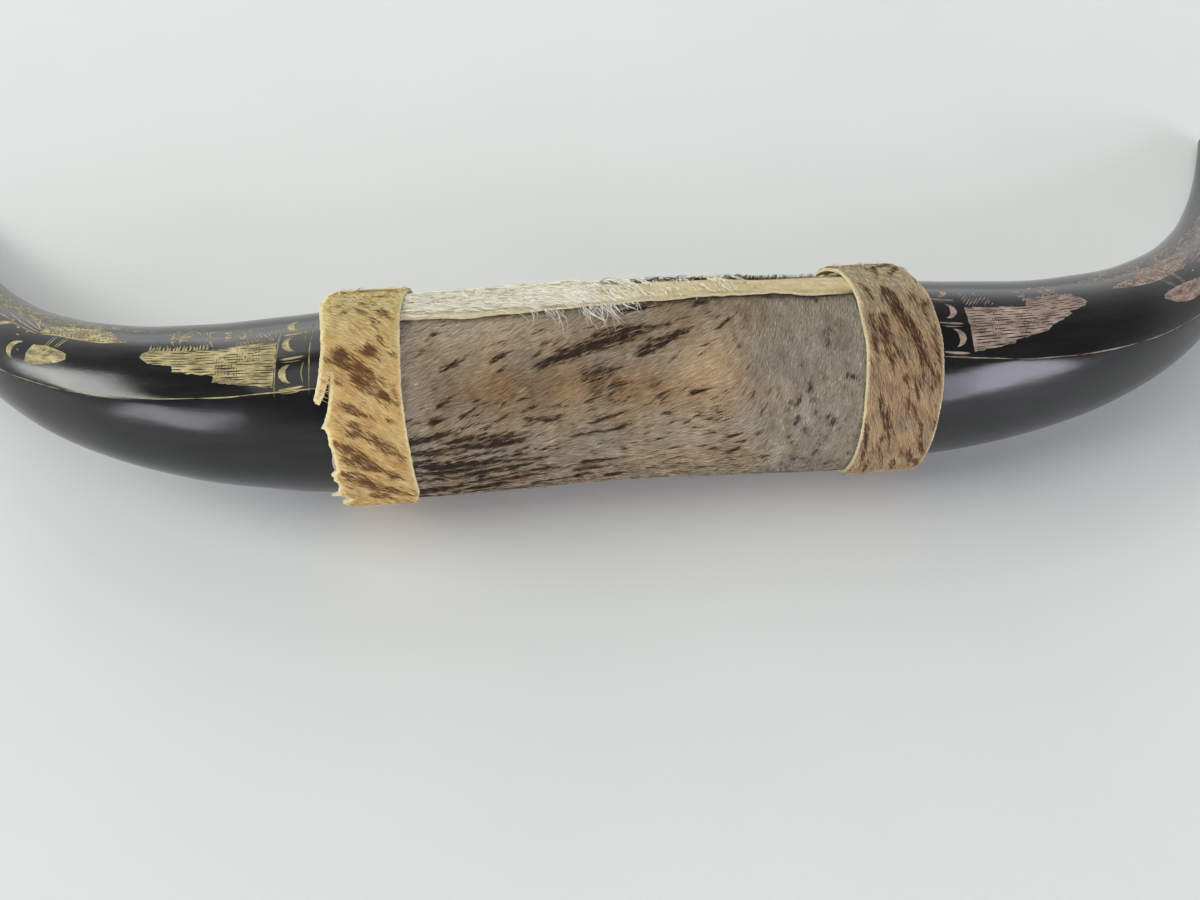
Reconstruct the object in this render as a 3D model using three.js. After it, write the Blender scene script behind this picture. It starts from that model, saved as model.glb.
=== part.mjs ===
// A pair of water-buffalo horns joined base to base and lying on its back on a table.
// A turned wooden core plugs the hollow horn bases. A hair-on hide sheet is wrapped round
// the core and over the first of each horn, its two edges meet under a narrow hide strip,
// and a hide strap is wound round each end of the sheet.
// Millimetres. +X runs along the span, +Y from the core towards the tips, +Z up.
import * as THREE from "three";
import { mergeVertices } from "three/addons/utils/BufferGeometryUtils.js";

// --- Driving dimensions ------------------------------------------------------------------

// Angles round the core are in degrees: 0 faces -Y, 90 is the top and 270 is the underside.
const fitGap = 0.3; // between pieces that touch
const sides = 30; // facets round a horn and round the core

const core = {
  radius: 38.8,
  halfLength: 104.8, // to the shoulder that a horn's base butts on
  spigotLength: 52,
  spigotTipRadius: 13,
  arch: 2.1, // its middle bows this far up and back
  archHalfLength: 86,
};

const wrap = {
  thickness: 1.6,
  halfLength: 116.5,
  seamAngle: 112,
  seamOpening: 1.4, // degrees left open between the sheet's two edges
};

const strip = {
  thickness: 1.5,
  halfLength: 110,
  fromAngle: 98, // its edge on the front, and the one past the seam
  toAngle: 118,
};

const cuff = {
  thickness: 1.4,
  innerEdge: 88.8, // distance of the strap's edges from the middle of the core
  outerEdge: 118.6,
  startAngle: 130,
  lapAngle: 26, // how far the strap runs over its own start
  rampAngle: 18, // where it climbs onto the strip and its own start
  restFlat: 12, // degrees of the underside pressed flat by lying on it
  skew: 3, // the strap's end lies this far along the core from its start
};

const horn = {
  baseX: 105.1,
  baseRadius: 37.8,
  tipRadius: 5.6,
  taperStart: 1.23, // the radius falls as (1 - u^taperStart)^taperEnd
  taperEnd: 1.24,
  ridgeAngle: 48.5, // from the outward side of the bend, up towards the top face
  ridgeTwist: -32.5, // over the whole length
  ridgeHeight: 0.114, // share of the radius
  ridgeHeightAtBase: 0.02,
  ridgeWidth: 0.5, // radians over which the ridge falls away
  ridgeRise: 0.14, // share of the length over which it grows to its full height
  wall: 5.6,
  hollowLength: 62,
  hollowEndRadius: 12,
};

// The bend turns as endTurn * (1 - (1 - u^turnStart)^turnEnd), in degrees.
const rightBend = { side: 1, length: 326, endTurn: 65.1, turnStart: 1.78, turnEnd: 2.73 };
const leftBend = { side: -1, length: 298.2, endTurn: 66.9, turnStart: 1.83, turnEnd: 2.62 };

// --- Sizes that follow from them ------------------------------------------------------------

const wrapInner = core.radius + fitGap;
const wrapOuter = wrapInner + wrap.thickness;
const stripInner = wrapOuter + fitGap;
const cuffInner = wrapOuter + fitGap;
const cuffOuter = cuffInner + cuff.thickness;
const cuffRaise = Math.max(strip.thickness, cuff.thickness) + fitGap;
const axisHeight = cuffOuter * Math.cos(THREE.MathUtils.degToRad(cuff.restFlat / 2));

// --- Materials ------------------------------------------------------------------------------

function material(color, roughness) {
  return new THREE.MeshStandardMaterial({ color, roughness, metalness: 0 });
}

const hornBlack = material(0x17171a, 0.22);
const coreWood = material(0xb58a58, 0.75);
const spottedHide = material(0x8d7a63, 0.85);
const paleHide = material(0xd9cba2, 0.8);
const goldenHide = material(0xc49a5c, 0.8);
const tanHide = material(0xa98a66, 0.8);

// --- Solids from rings and sheets -------------------------------------------------------------

// A closed solid through a chain of rings of points, with a point closing each end.
function ringSolid(firstPole, rings, lastPole) {
  const positions = [];
  const put = (...points) => points.forEach((p) => positions.push(p.x, p.y, p.z));
  const count = rings[0].length;
  for (let j = 0; j < count; j++) {
    const k = (j + 1) % count;
    put(firstPole, rings[0][k], rings[0][j]);
    for (let i = 0; i + 1 < rings.length; i++) {
      const [a, b] = [rings[i], rings[i + 1]];
      put(a[j], a[k], b[k]);
      put(a[j], b[k], b[j]);
    }
    const last = rings[rings.length - 1];
    put(last[j], last[k], lastPole);
  }
  return closedGeometry(positions);
}

// A closed sheet between an outer and an inner surface, each given as rows of points.
function sheetSolid(outer, inner) {
  const positions = [];
  const quad = (a, b, c, d) =>
    [a, b, c, a, c, d].forEach((p) => positions.push(p.x, p.y, p.z));
  const lastRow = outer.length - 1;
  const lastColumn = outer[0].length - 1;
  for (let i = 0; i < lastRow; i++) {
    for (let j = 0; j < lastColumn; j++) {
      quad(outer[i][j], outer[i + 1][j], outer[i + 1][j + 1], outer[i][j + 1]);
      quad(inner[i][j], inner[i][j + 1], inner[i + 1][j + 1], inner[i + 1][j]);
    }
    quad(outer[i + 1][0], outer[i][0], inner[i][0], inner[i + 1][0]);
    quad(outer[i][lastColumn], outer[i + 1][lastColumn], inner[i + 1][lastColumn], inner[i][lastColumn]);
  }
  for (let j = 0; j < lastColumn; j++) {
    quad(outer[0][j], outer[0][j + 1], inner[0][j + 1], inner[0][j]);
    quad(outer[lastRow][j + 1], outer[lastRow][j], inner[lastRow][j], inner[lastRow][j + 1]);
  }
  return closedGeometry(positions);
}

// Turns loose triangles into an indexed geometry that faces out, whichever way they ran.
function closedGeometry(positions) {
  const loose = new THREE.BufferGeometry();
  loose.setAttribute("position", new THREE.Float32BufferAttribute(positions, 3));
  const geometry = mergeVertices(loose, 1e-3);
  if (signedVolume(geometry) < 0) {
    const index = geometry.index.array;
    for (let i = 0; i < index.length; i += 3) {
      [index[i + 1], index[i + 2]] = [index[i + 2], index[i + 1]];
    }
  }
  geometry.computeVertexNormals();
  return geometry;
}

function signedVolume(geometry) {
  const [a, b, c] = [new THREE.Vector3(), new THREE.Vector3(), new THREE.Vector3()];
  let volume = 0;
  for (let i = 0; i < geometry.index.count; i += 3) {
    a.fromBufferAttribute(geometry.attributes.position, geometry.index.getX(i));
    b.fromBufferAttribute(geometry.attributes.position, geometry.index.getX(i + 1));
    c.fromBufferAttribute(geometry.attributes.position, geometry.index.getX(i + 2));
    volume += a.dot(b.cross(c)) / 6;
  }
  return volume;
}

// A point at a distance along the arched core and an angle and radius round it.
function roundCore(x, angle, radius) {
  const a = THREE.MathUtils.degToRad(angle);
  const fromEnds = Math.max(0, 1 - (x / core.archHalfLength) ** 2);
  const bow = core.arch * fromEnds ** 2;
  const y = 0.6 * bow - radius * Math.cos(a);
  const z = 0.8 * bow + radius * Math.sin(a);
  return new THREE.Vector3(x, y, axisHeight + z);
}

function steps(from, to, count) {
  return Array.from({ length: count + 1 }, (_, i) => from + ((to - from) * i) / count);
}

// --- Horns -----------------------------------------------------------------------------------

// The horn's centre line before it leans, as stations of distance, place and heading.
function bendStations(bend, count) {
  const stations = [];
  const middle = { x: horn.baseX, y: 0 };
  let heading = 0;
  for (let i = 0; i <= count; i++) {
    const u = i / count;
    const turned = 1 - (1 - u ** bend.turnStart) ** bend.turnEnd;
    const next = THREE.MathUtils.degToRad(bend.endTurn * turned);
    if (i > 0) {
      const between = (heading + next) / 2;
      middle.x += (Math.cos(between) * bend.length) / count;
      middle.y += (Math.sin(between) * bend.length) / count;
    }
    heading = next;
    stations.push({ u, x: middle.x, y: middle.y, heading });
  }
  return stations;
}

function hornRadius(u) {
  const share = (1 - u ** horn.taperStart) ** horn.taperEnd;
  return horn.tipRadius + (horn.baseRadius - horn.tipRadius) * share;
}

function ridgeHeight(u) {
  const grown = THREE.MathUtils.smoothstep(u, 0, horn.ridgeRise);
  return THREE.MathUtils.lerp(horn.ridgeHeightAtBase, horn.ridgeHeight, grown);
}

// One ring of the horn's outside at a station, scaled about the centre line.
function hornRing(bend, station, lean, scale = 1, forward = 0) {
  const { side } = bend;
  const up = new THREE.Vector3(0, Math.sin(lean), Math.cos(lean));
  const along = new THREE.Vector3(
    side * Math.cos(station.heading),
    Math.sin(station.heading) * Math.cos(lean),
    -Math.sin(station.heading) * Math.sin(lean),
  );
  const out = new THREE.Vector3().crossVectors(along, up).multiplyScalar(side);
  const centre = hornCentre(bend, station, lean).addScaledVector(along, forward);
  const ridge = THREE.MathUtils.degToRad(horn.ridgeAngle + horn.ridgeTwist * station.u);
  const radius = hornRadius(station.u) * scale;
  return steps(0, 2 * Math.PI, sides).slice(0, sides).map((turn) => {
    const fromRidge = Math.min(turn, 2 * Math.PI - turn);
    const rise = 1 + ridgeHeight(station.u) * Math.exp(-fromRidge / horn.ridgeWidth);
    return centre
      .clone()
      .addScaledVector(out, radius * rise * Math.cos(ridge + turn))
      .addScaledVector(up, radius * rise * Math.sin(ridge + turn));
  });
}

function hornCentre(bend, station, lean) {
  return new THREE.Vector3(
    bend.side * station.x,
    station.y * Math.cos(lean),
    axisHeight - station.y * Math.sin(lean),
  );
}

// The outside of the horn from its tip back to its base.
function hornOutside(bend, lean) {
  const stations = bendStations(bend, 30);
  const last = stations[stations.length - 1];
  const cap = [0.35, 0.7, 0.92].map((share) =>
    hornRing(bend, last, lean, share, horn.tipRadius * Math.sqrt(1 - share * share)),
  );
  return {
    tip: hornRing(bend, last, lean, 0, horn.tipRadius)[0],
    rings: [...cap, ...stations.reverse().map((s) => hornRing(bend, s, lean))],
  };
}

// The lean that brings the lowest point of the horn down to the table.
function leanOf(bend) {
  let [low, high] = [0, 0.6];
  for (let i = 0; i < 40; i++) {
    const lean = (low + high) / 2;
    const heights = hornOutside(bend, lean).rings.flat().map((p) => p.z);
    if (Math.min(...heights) > 0) low = lean;
    else high = lean;
  }
  return low;
}

function hornGeometry(bend) {
  const lean = leanOf(bend);
  const { tip, rings } = hornOutside(bend, lean);
  const fine = bendStations(bend, 160);
  const hollow = fine.filter((s) => s.u * bend.length < horn.hollowLength);
  const inside = hollow
    .filter((_, i) => i % 6 === 0)
    .map((station) => {
      const share = (station.u * bend.length) / horn.hollowLength;
      const atBase = horn.baseRadius - horn.wall;
      const radius = THREE.MathUtils.lerp(atBase, horn.hollowEndRadius, share ** 1.6);
      return hornRing(bend, station, lean, radius / hornRadius(station.u));
    });
  const end = hornCentre(bend, hollow[hollow.length - 1], lean);
  return ringSolid(tip, [...rings, ...inside], end);
}

// --- Core ------------------------------------------------------------------------------------

function coreRing(x, radius) {
  return steps(0, 360, sides).slice(0, sides).map((angle) => roundCore(x, angle, radius));
}

function coreGeometry() {
  const spigotRoot = horn.baseRadius - horn.wall - 1.2;
  const spigot = steps(0, 1, 5).map((share) => ({
    x: core.halfLength + core.spigotLength * share,
    radius: THREE.MathUtils.lerp(spigotRoot, core.spigotTipRadius, share ** 1.5),
  }));
  const shoulder = { x: core.halfLength, radius: core.radius };
  const middle = [12, 36, 60, 84].map((x) => ({ x, radius: core.radius }));
  const rightHalf = [...middle, shoulder, ...spigot];
  const leftHalf = rightHalf.map(({ x, radius }) => ({ x: -x, radius })).reverse();
  const rings = [...leftHalf, ...rightHalf].map(({ x, radius }) => coreRing(x, radius));
  const end = core.halfLength + core.spigotLength;
  return ringSolid(roundCore(-end - 2, 0, 0), rings, roundCore(end + 2, 0, 0));
}

// --- Hide sheet, strip and straps -------------------------------------------------------------

function wrapGeometry() {
  const open = wrap.seamOpening / 2;
  const wrapStations = [-wrap.halfLength, ...steps(-84, 84, 7), wrap.halfLength];
  const angles = steps(wrap.seamAngle + open, wrap.seamAngle + 360 - open, 40);
  const layer = (radius) =>
    angles.map((angle) =>
      wrapStations.map((x) => roundCore(x, angle, radius)),
    );
  return sheetSolid(layer(wrapOuter), layer(wrapInner));
}

function stripGeometry() {
  const angles = steps(strip.fromAngle, strip.toAngle, 5);
  const layer = (radius) =>
    angles.map((angle) =>
      steps(-strip.halfLength, strip.halfLength, 8).map((x) => roundCore(x, angle, radius)),
    );
  return sheetSolid(layer(stripInner + strip.thickness), layer(stripInner));
}

function cuffGeometry(side) {
  const end = cuff.startAngle + 360 + cuff.lapAngle;
  const overStrip = 360 + strip.fromAngle - 2;
  const restFrom = 270 - cuff.restFlat / 2;
  const restTo = 270 + cuff.restFlat / 2;
  const angles = [
    ...steps(cuff.startAngle, restFrom, 19),
    ...steps(restTo, overStrip - cuff.rampAngle, 19),
    ...steps(overStrip - cuff.rampAngle, end, 10).slice(1),
  ];
  const layer = (radius) =>
    angles.map((angle) => {
      const raised = THREE.MathUtils.smoothstep(angle, overStrip - cuff.rampAngle, overStrip);
      const along = (angle - cuff.startAngle) / (end - cuff.startAngle);
      const shift = cuff.skew * (0.5 - along);
      return steps(cuff.innerEdge, cuff.outerEdge, 3).map((x) =>
        roundCore(side * (x + shift), angle, radius + cuffRaise * raised),
      );
    });
  return sheetSolid(layer(cuffOuter), layer(cuffInner));
}

// --- Assembly ----------------------------------------------------------------------------------

function named(name, geometry, surface) {
  const mesh = new THREE.Mesh(geometry, surface);
  mesh.name = name;
  return mesh;
}

const pair = new THREE.Group();
pair.add(
  named("horn_left", hornGeometry(leftBend), hornBlack),
  named("horn_right", hornGeometry(rightBend), hornBlack),
  named("core", coreGeometry(), coreWood),
  named("hide_wrap", wrapGeometry(), spottedHide),
  named("seam_strip", stripGeometry(), paleHide),
  named("cuff_left", cuffGeometry(-1), goldenHide),
  named("cuff_right", cuffGeometry(1), tanHide),
);

// The origin lies under the middle of the whole pair, on the table.
const box = new THREE.Box3().setFromObject(pair, true);
pair.position.set(-(box.min.x + box.max.x) / 2, -(box.min.y + box.max.y) / 2, -box.min.z);

export default pair;
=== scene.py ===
import math
import bpy
import numpy as np
from mathutils import Matrix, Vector
from mathutils.geometry import delaunay_2d_cdt
from mathutils.kdtree import KDTree


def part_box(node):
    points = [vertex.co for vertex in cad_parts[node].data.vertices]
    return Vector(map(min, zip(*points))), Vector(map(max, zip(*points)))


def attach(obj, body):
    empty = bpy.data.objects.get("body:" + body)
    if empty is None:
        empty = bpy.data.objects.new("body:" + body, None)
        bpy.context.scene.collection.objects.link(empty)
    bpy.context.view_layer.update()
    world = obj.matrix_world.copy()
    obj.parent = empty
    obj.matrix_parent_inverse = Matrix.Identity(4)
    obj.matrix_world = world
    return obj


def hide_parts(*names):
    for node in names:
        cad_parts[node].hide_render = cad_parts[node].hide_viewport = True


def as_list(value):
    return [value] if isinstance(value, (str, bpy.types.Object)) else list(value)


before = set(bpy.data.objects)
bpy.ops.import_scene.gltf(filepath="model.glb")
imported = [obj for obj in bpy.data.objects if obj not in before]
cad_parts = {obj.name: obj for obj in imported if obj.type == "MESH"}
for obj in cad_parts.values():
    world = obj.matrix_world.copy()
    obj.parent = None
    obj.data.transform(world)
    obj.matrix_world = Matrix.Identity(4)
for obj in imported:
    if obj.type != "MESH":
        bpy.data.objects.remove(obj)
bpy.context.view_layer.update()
coreLow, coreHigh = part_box("core")
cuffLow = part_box("cuff_left")[0]

# Lengths below are in mm and angles in degrees; meshes are written in metres.
# Angles round the core: 0 faces the front, 90 is the top, -90 is the underside.
core = {
    "outer": 42.4,  # out to the straps
    "restFlat": 12,  # width of the flat that it lies on
    "arch": 2.1,  # how far the middle bows, along the next value's way
    "archWay": (0.6, 0.8),  # back and up
    "archHalf": 86,
    "wrapOuter": 40.7,
    "stripInner": 41.0,
}
middleX = (coreLow[0] + coreHigh[0]) * 500
axisY = cuffLow[1] * 1000 + core["outer"]
axisZ = core["outer"] * math.cos(math.radians(core["restFlat"] / 2))
mmPerDegree = math.radians(core["wrapOuter"])


def roundCore(x, angle, radius):
    a = np.radians(angle)
    bow = core["arch"] * np.clip(1 - (x / core["archHalf"]) ** 2, 0, None) ** 2
    y = axisY + core["archWay"][0] * bow - radius * np.cos(a)
    z = axisZ + core["archWay"][1] * bow + radius * np.sin(a)
    return np.stack([middleX + x + 0 * y, y, z], -1)


def smooth(low, high, value):
    t = np.clip((value - low) / (high - low), 0, 1)
    return t * t * (3 - 2 * t)


def ripple(x, y, seed, size):
    # gentle lumps between -1 and 1, about size apart
    r = np.random.default_rng(seed)
    total = 0
    for _ in range(7):
        way = r.uniform(0, 2 * math.pi)
        pace = 2 * math.pi / (size * r.uniform(0.7, 1.6))
        total = total + np.sin((x * math.cos(way) + y * math.sin(way)) * pace + r.uniform(0, 6.3))
    return total / 4


def insideOf(outline, x, y):
    inside = np.zeros(np.shape(x), bool)
    for (ax, ay), (bx, by) in zip(outline, np.roll(outline, -1, axis=0)):
        crosses = (ay > y) != (by > y)
        with np.errstate(divide="ignore", invalid="ignore"):
            inside ^= crosses & (x < (bx - ax) * (y - ay) / (by - ay) + ax)
    return inside


def leftTurning(loop):
    # the same outline, with its inside on the left
    loop = np.asarray(loop, float)
    after = np.roll(loop, -1, axis=0)
    return loop if (loop[:, 0] * after[:, 1] - after[:, 0] * loop[:, 1]).sum() > 0 else loop[::-1]


def turns(points, faces):
    a, b, c = (points[faces[:, i]] for i in range(3))
    return (b[:, 0] - a[:, 0]) * (c[:, 1] - a[:, 1]) - (c[:, 0] - a[:, 0]) * (b[:, 1] - a[:, 1])


def triangulated(flat, loops, kind, nearness):
    # left-turning triangles between flat points; kind 1 leaves out those outside the loops
    verts, _, tris, sources, _, _ = delaunay_2d_cdt([tuple(p) for p in flat], [], loops, kind, nearness)
    verts, tris = np.array([tuple(v) for v in verts]), np.array([tuple(t) for t in tris])
    back = turns(verts, tris) < 0
    tris[back] = tris[back][:, ::-1]
    return verts, tris, sources


def spaced(loop, gap):
    # the same closed outline with a point at least every gap
    points = []
    for a, b in zip(loop, np.roll(loop, -1, axis=0)):
        count = max(1, int(math.ceil(np.linalg.norm(b - a) / gap)))
        points += [a + (b - a) * i / count for i in range(count)]
    return np.array(points)


def makePiece(name, points, faces, materials, replaces=(), faceMaterial=None):
    mesh = bpy.data.meshes.new(name)
    faces = np.asarray(faces, np.int32)
    mesh.vertices.add(len(points))
    mesh.vertices.foreach_set("co", (points * 0.001).astype(np.float32).ravel())
    mesh.loops.add(faces.size)
    mesh.loops.foreach_set("vertex_index", faces.ravel())
    mesh.polygons.add(len(faces))
    mesh.polygons.foreach_set("loop_start", np.arange(0, faces.size, 3, dtype=np.int32))
    for m in materials:
        mesh.materials.append(m)
    if faceMaterial is not None:
        mesh.polygons.foreach_set("material_index", np.asarray(faceMaterial, np.int32))
    mesh.update(calc_edges=True)
    mesh.polygons.foreach_set("use_smooth", np.full(len(faces), True))
    piece = bpy.data.objects.new(name, mesh)
    bpy.context.scene.collection.objects.link(piece)
    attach(piece, "root")
    if replaces:
        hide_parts(*replaces)
    return piece


def setAttribute(piece, name, values, kind="FLOAT"):
    layer = piece.data.attributes.new(name, kind, "POINT")
    layer.data.foreach_set("value" if kind == "FLOAT" else "vector", np.ravel(values).astype(np.float32))


# Materials. Each has its numbers in a dictionary and its nodes in a function.

class NodeBench:
    # short ways to place and wire the nodes of one material
    def __init__(self, name):
        self.material = bpy.data.materials.new(name)
        self.material.use_nodes = True
        self.tree = self.material.node_tree
        self.shader = self.tree.nodes["Principled BSDF"]

    def add(self, kind, **settings):
        made = self.tree.nodes.new("ShaderNode" + kind)
        for key, value in settings.items():
            setattr(made, key, value)
        return made

    def wire(self, source, target):
        self.tree.links.new(source, target)

    def feed(self, target, value):
        if hasattr(value, "is_output"):
            self.wire(value, target)
        else:
            target.default_value = value

    def attribute(self, name, part="Vector"):
        return self.add("Attribute", attribute_name=name).outputs[part]

    def objectPlace(self):
        return self.add("TexCoord").outputs["Object"]

    def noise(self, vector, scale, detail=4, stretch=None, rough=0.55, distort=0):
        if stretch:
            mapping = self.add("Mapping")
            self.wire(vector, mapping.inputs["Vector"])
            mapping.inputs["Scale"].default_value = stretch
            vector = mapping.outputs["Vector"]
        made = self.add("TexNoise")
        self.wire(vector, made.inputs["Vector"])
        made.inputs["Scale"].default_value = scale
        made.inputs["Detail"].default_value = detail
        made.inputs["Roughness"].default_value = rough
        made.inputs["Distortion"].default_value = distort
        return made.outputs["Fac"]

    def ramp(self, value, stops):
        made = self.add("ValToRGB")
        self.wire(value, made.inputs["Fac"])
        bars = made.color_ramp.elements
        while len(bars) < len(stops):
            bars.new(0.5)
        for bar, (place, colour) in zip(bars, stops):
            bar.position = place
            bar.color = (*colour, 1) if hasattr(colour, "__len__") else (colour, colour, colour, 1)
        return made.outputs["Color"]

    def mix(self, share, first, second, how="MIX"):
        made = self.add("Mix", data_type="RGBA", blend_type=how)
        self.feed(made.inputs[0], share)
        self.feed(made.inputs[6], first)
        self.feed(made.inputs[7], second)
        return made.outputs[2]

    def sum(self, first, second, how="ADD"):
        made = self.add("Math", operation=how)
        self.feed(made.inputs[0], first)
        self.feed(made.inputs[1], second)
        return made.outputs[0]

    def finish(self, colour, roughness, height=None, strength=0.5, depth=0.0002):
        # height gives a bump of this strength and depth in metres
        self.feed(self.shader.inputs["Base Color"], colour)
        self.feed(self.shader.inputs["Roughness"], roughness)
        if height is not None:
            made = self.add("Bump")
            self.wire(height, made.inputs["Height"])
            made.inputs["Strength"].default_value = strength
            made.inputs["Distance"].default_value = depth
            self.wire(made.outputs["Normal"], self.shader.inputs["Normal"])
        return self.material


polishedHorn = {
    "black": (0.0045, 0.0045, 0.005),
    "fibre": (0.012, 0.0115, 0.0115),
    "speck": (0.16, 0.15, 0.14),
    "gloss": (0.11, 0.22),  # roughness where it shines most and least
    "bump": 0.25,
    "bumpDepth": 0.00012,
    "ior": 1.5,
}
scrapedHorn = {
    "yellow": {"dark": (0.09, 0.07, 0.03), "middle": (0.34, 0.275, 0.115), "light": (0.6, 0.52, 0.27)},
    "pink": {"dark": (0.08, 0.055, 0.042), "middle": (0.285, 0.2, 0.15), "light": (0.48, 0.37, 0.3)},
    "roughness": 0.62,
    "bumpDepth": 0.00015,
}


def blackHornMaterial():
    b, look = NodeBench("polishedBlackHorn"), polishedHorn
    grain = b.attribute("grain")
    fibres = b.noise(grain, 3.2, 6, (0.12, 1, 1), 0.65)
    clouds = b.noise(grain, 0.7, 3, (0.6, 1, 1))
    scuffs = b.noise(grain, 9, 5, (0.3, 1, 1), 0.7, 0.4)
    specks = b.ramp(b.noise(grain, 30, 2), [(0.73, 0.0), (0.78, 1.0)])
    colour = b.ramp(fibres, [(0.42, look["black"]), (0.78, look["fibre"])])
    dull = b.sum(b.sum(b.sum(fibres, clouds), scuffs), 3, "DIVIDE")
    gloss = b.ramp(dull, [(0.38, look["gloss"][0]), (0.62, look["gloss"][1])])
    b.shader.inputs["IOR"].default_value = look["ior"]
    colour = b.mix(specks, colour, (*look["speck"], 1))
    return b.finish(colour, gloss, b.sum(fibres, scuffs), look["bump"], look["bumpDepth"])


def scrapedHornMaterial(name, look):
    b = NodeBench(name)
    grain = b.attribute("grain")
    fine = b.noise(grain, 24, 5, (0.16, 1, 1), 0.75)
    patches = b.noise(grain, 4, 4, (0.4, 1, 1))
    shade = b.sum(b.sum(fine, patches), 2, "DIVIDE")
    colour = b.ramp(shade, [(0.37, look["dark"]), (0.49, look["middle"]), (0.62, look["light"])])
    return b.finish(colour, scrapedHorn["roughness"], fine, 0.5, scrapedHorn["bumpDepth"])


# Hair takes its colour from a chart: across it from dark to pale, up it from cool to warm.
# Each hair's place on the chart is its UV, so the chart is all that there is to bake.
# For each hide: (place across the chart, colour) along its cool edge, then along its warm edge.
hideColours = {
    "spotted": (
        [(0.0, (0.02, 0.014, 0.012)), (0.25, (0.095, 0.073, 0.052)), (0.55, (0.35, 0.315, 0.235)),
         (0.8, (0.56, 0.53, 0.46)), (1.0, (0.8, 0.78, 0.72))],
        [(0.0, (0.02, 0.012, 0.009)), (0.25, (0.12, 0.06, 0.03)), (0.55, (0.42, 0.27, 0.13)),
         (0.8, (0.68, 0.5, 0.28)), (1.0, (0.84, 0.72, 0.48))],
    ),
    "white": (
        [(0.0, (0.2, 0.18, 0.14)), (0.4, (0.55, 0.52, 0.42)), (0.75, (0.84, 0.82, 0.74)),
         (1.0, (0.92, 0.92, 0.88))],
        [(0.0, (0.25, 0.18, 0.08)), (0.4, (0.52, 0.4, 0.19)), (0.75, (0.8, 0.68, 0.38)),
         (1.0, (0.9, 0.85, 0.66))],
    ),
    "golden": (
        [(0.0, (0.07, 0.042, 0.026)), (0.3, (0.25, 0.16, 0.075)), (0.6, (0.72, 0.61, 0.3)),
         (0.85, (0.8, 0.74, 0.46)), (1.0, (0.86, 0.83, 0.66))],
        [(0.0, (0.085, 0.036, 0.017)), (0.3, (0.3, 0.15, 0.05)), (0.6, (0.74, 0.5, 0.19)),
         (0.85, (0.84, 0.66, 0.33)), (1.0, (0.86, 0.76, 0.52))],
    ),
    "tan": (
        [(0.0, (0.035, 0.025, 0.018)), (0.3, (0.12, 0.085, 0.055)), (0.6, (0.43, 0.35, 0.25)),
         (0.85, (0.62, 0.56, 0.36)), (1.0, (0.78, 0.74, 0.52))],
        [(0.0, (0.045, 0.022, 0.014)), (0.3, (0.2, 0.1, 0.045)), (0.6, (0.55, 0.38, 0.21)),
         (0.85, (0.7, 0.55, 0.31)), (1.0, (0.8, 0.7, 0.46))],
    ),
}
hideLook = {
    "hairRoughness": 0.7,
    "hairSpecular": 0.18,
    "skinRoughness": 0.8,
    "rawhideRoughness": 0.6,
    "skinStain": 0.72,  # how dark the skin's stains are
    "skinBumpDepth": 0.0003,
    "cutShade": (0.5, 0.42, 0.2),
    "cutPale": (0.78, 0.72, 0.46),
    "cutRoughness": 0.75,
}
coreLook = {
    "dark": (0.3, 0.17, 0.07),
    "light": (0.5, 0.32, 0.15),
    "roughness": 0.7,
    "bump": 0.4,
    "bumpDepth": 0.0004,
}


def hairMaterial(hide):
    b = NodeBench(hide + "Hair")
    cool, warm = hideColours[hide]
    parts = b.add("SeparateXYZ")
    b.wire(b.add("UVMap", uv_map="OFBake").outputs["UV"], parts.inputs["Vector"])
    tone, warmth = parts.outputs["X"], parts.outputs["Y"]
    b.shader.inputs["Specular IOR Level"].default_value = hideLook["hairSpecular"]
    return b.finish(b.mix(warmth, b.ramp(tone, cool), b.ramp(tone, warm)), hideLook["hairRoughness"])


def skinMaterial(name, hide, roughness=hideLook["skinRoughness"]):
    b = NodeBench(name)
    cool, warm = hideColours[hide]
    place = b.objectPlace()
    grain = b.noise(place, 900, 4)
    mottle = b.noise(place, 180, 4)
    both = b.sum(grain, mottle)
    stain = b.ramp(b.sum(both, 2, "DIVIDE"), [(0.35, hideLook["skinStain"]), (0.62, 1.0)])
    tone = b.attribute("tone", "Fac")
    colour = b.mix(b.attribute("warmth", "Fac"), b.ramp(tone, cool), b.ramp(tone, warm))
    colour = b.mix(1.0, colour, stain, "MULTIPLY")
    return b.finish(colour, roughness, both, 0.5, hideLook["skinBumpDepth"])


def cutHideMaterial():
    b = NodeBench("cutHide")
    fibres = b.noise(b.objectPlace(), 1400, 5)
    colour = b.ramp(fibres, [(0.3, hideLook["cutShade"]), (0.7, hideLook["cutPale"])])
    return b.finish(colour, hideLook["cutRoughness"], fibres)


def coreWoodMaterial():
    b = NodeBench("turnedWood")
    place = b.objectPlace()
    rings = b.noise(place, 60, 4, (0.08, 1, 1), 0.6, 0.6)
    pores = b.noise(place, 700, 3, (0.06, 1, 1))
    colour = b.ramp(rings, [(0.35, coreLook["dark"]), (0.65, coreLook["light"])])
    return b.finish(colour, coreLook["roughness"], pores, coreLook["bump"], coreLook["bumpDepth"])


blackHorn = blackHornMaterial()
scrapedLeft = scrapedHornMaterial("scrapedHornYellow", scrapedHorn["yellow"])
scrapedRight = scrapedHornMaterial("scrapedHornPink", scrapedHorn["pink"])
cutHide = cutHideMaterial()
coreWood = coreWoodMaterial()
spottedHair = hairMaterial("spotted")
spottedSkin = skinMaterial("spottedSkin", "spotted")
whiteHair = hairMaterial("white")
rawhide = skinMaterial("rawhide", "white", hideLook["rawhideRoughness"])
goldenHair = hairMaterial("golden")
goldenSkin = skinMaterial("goldenSkin", "golden")
tanHair = hairMaterial("tan")
tanSkin = skinMaterial("tanSkin", "tan")
print("materials ready")


# Horns

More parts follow.
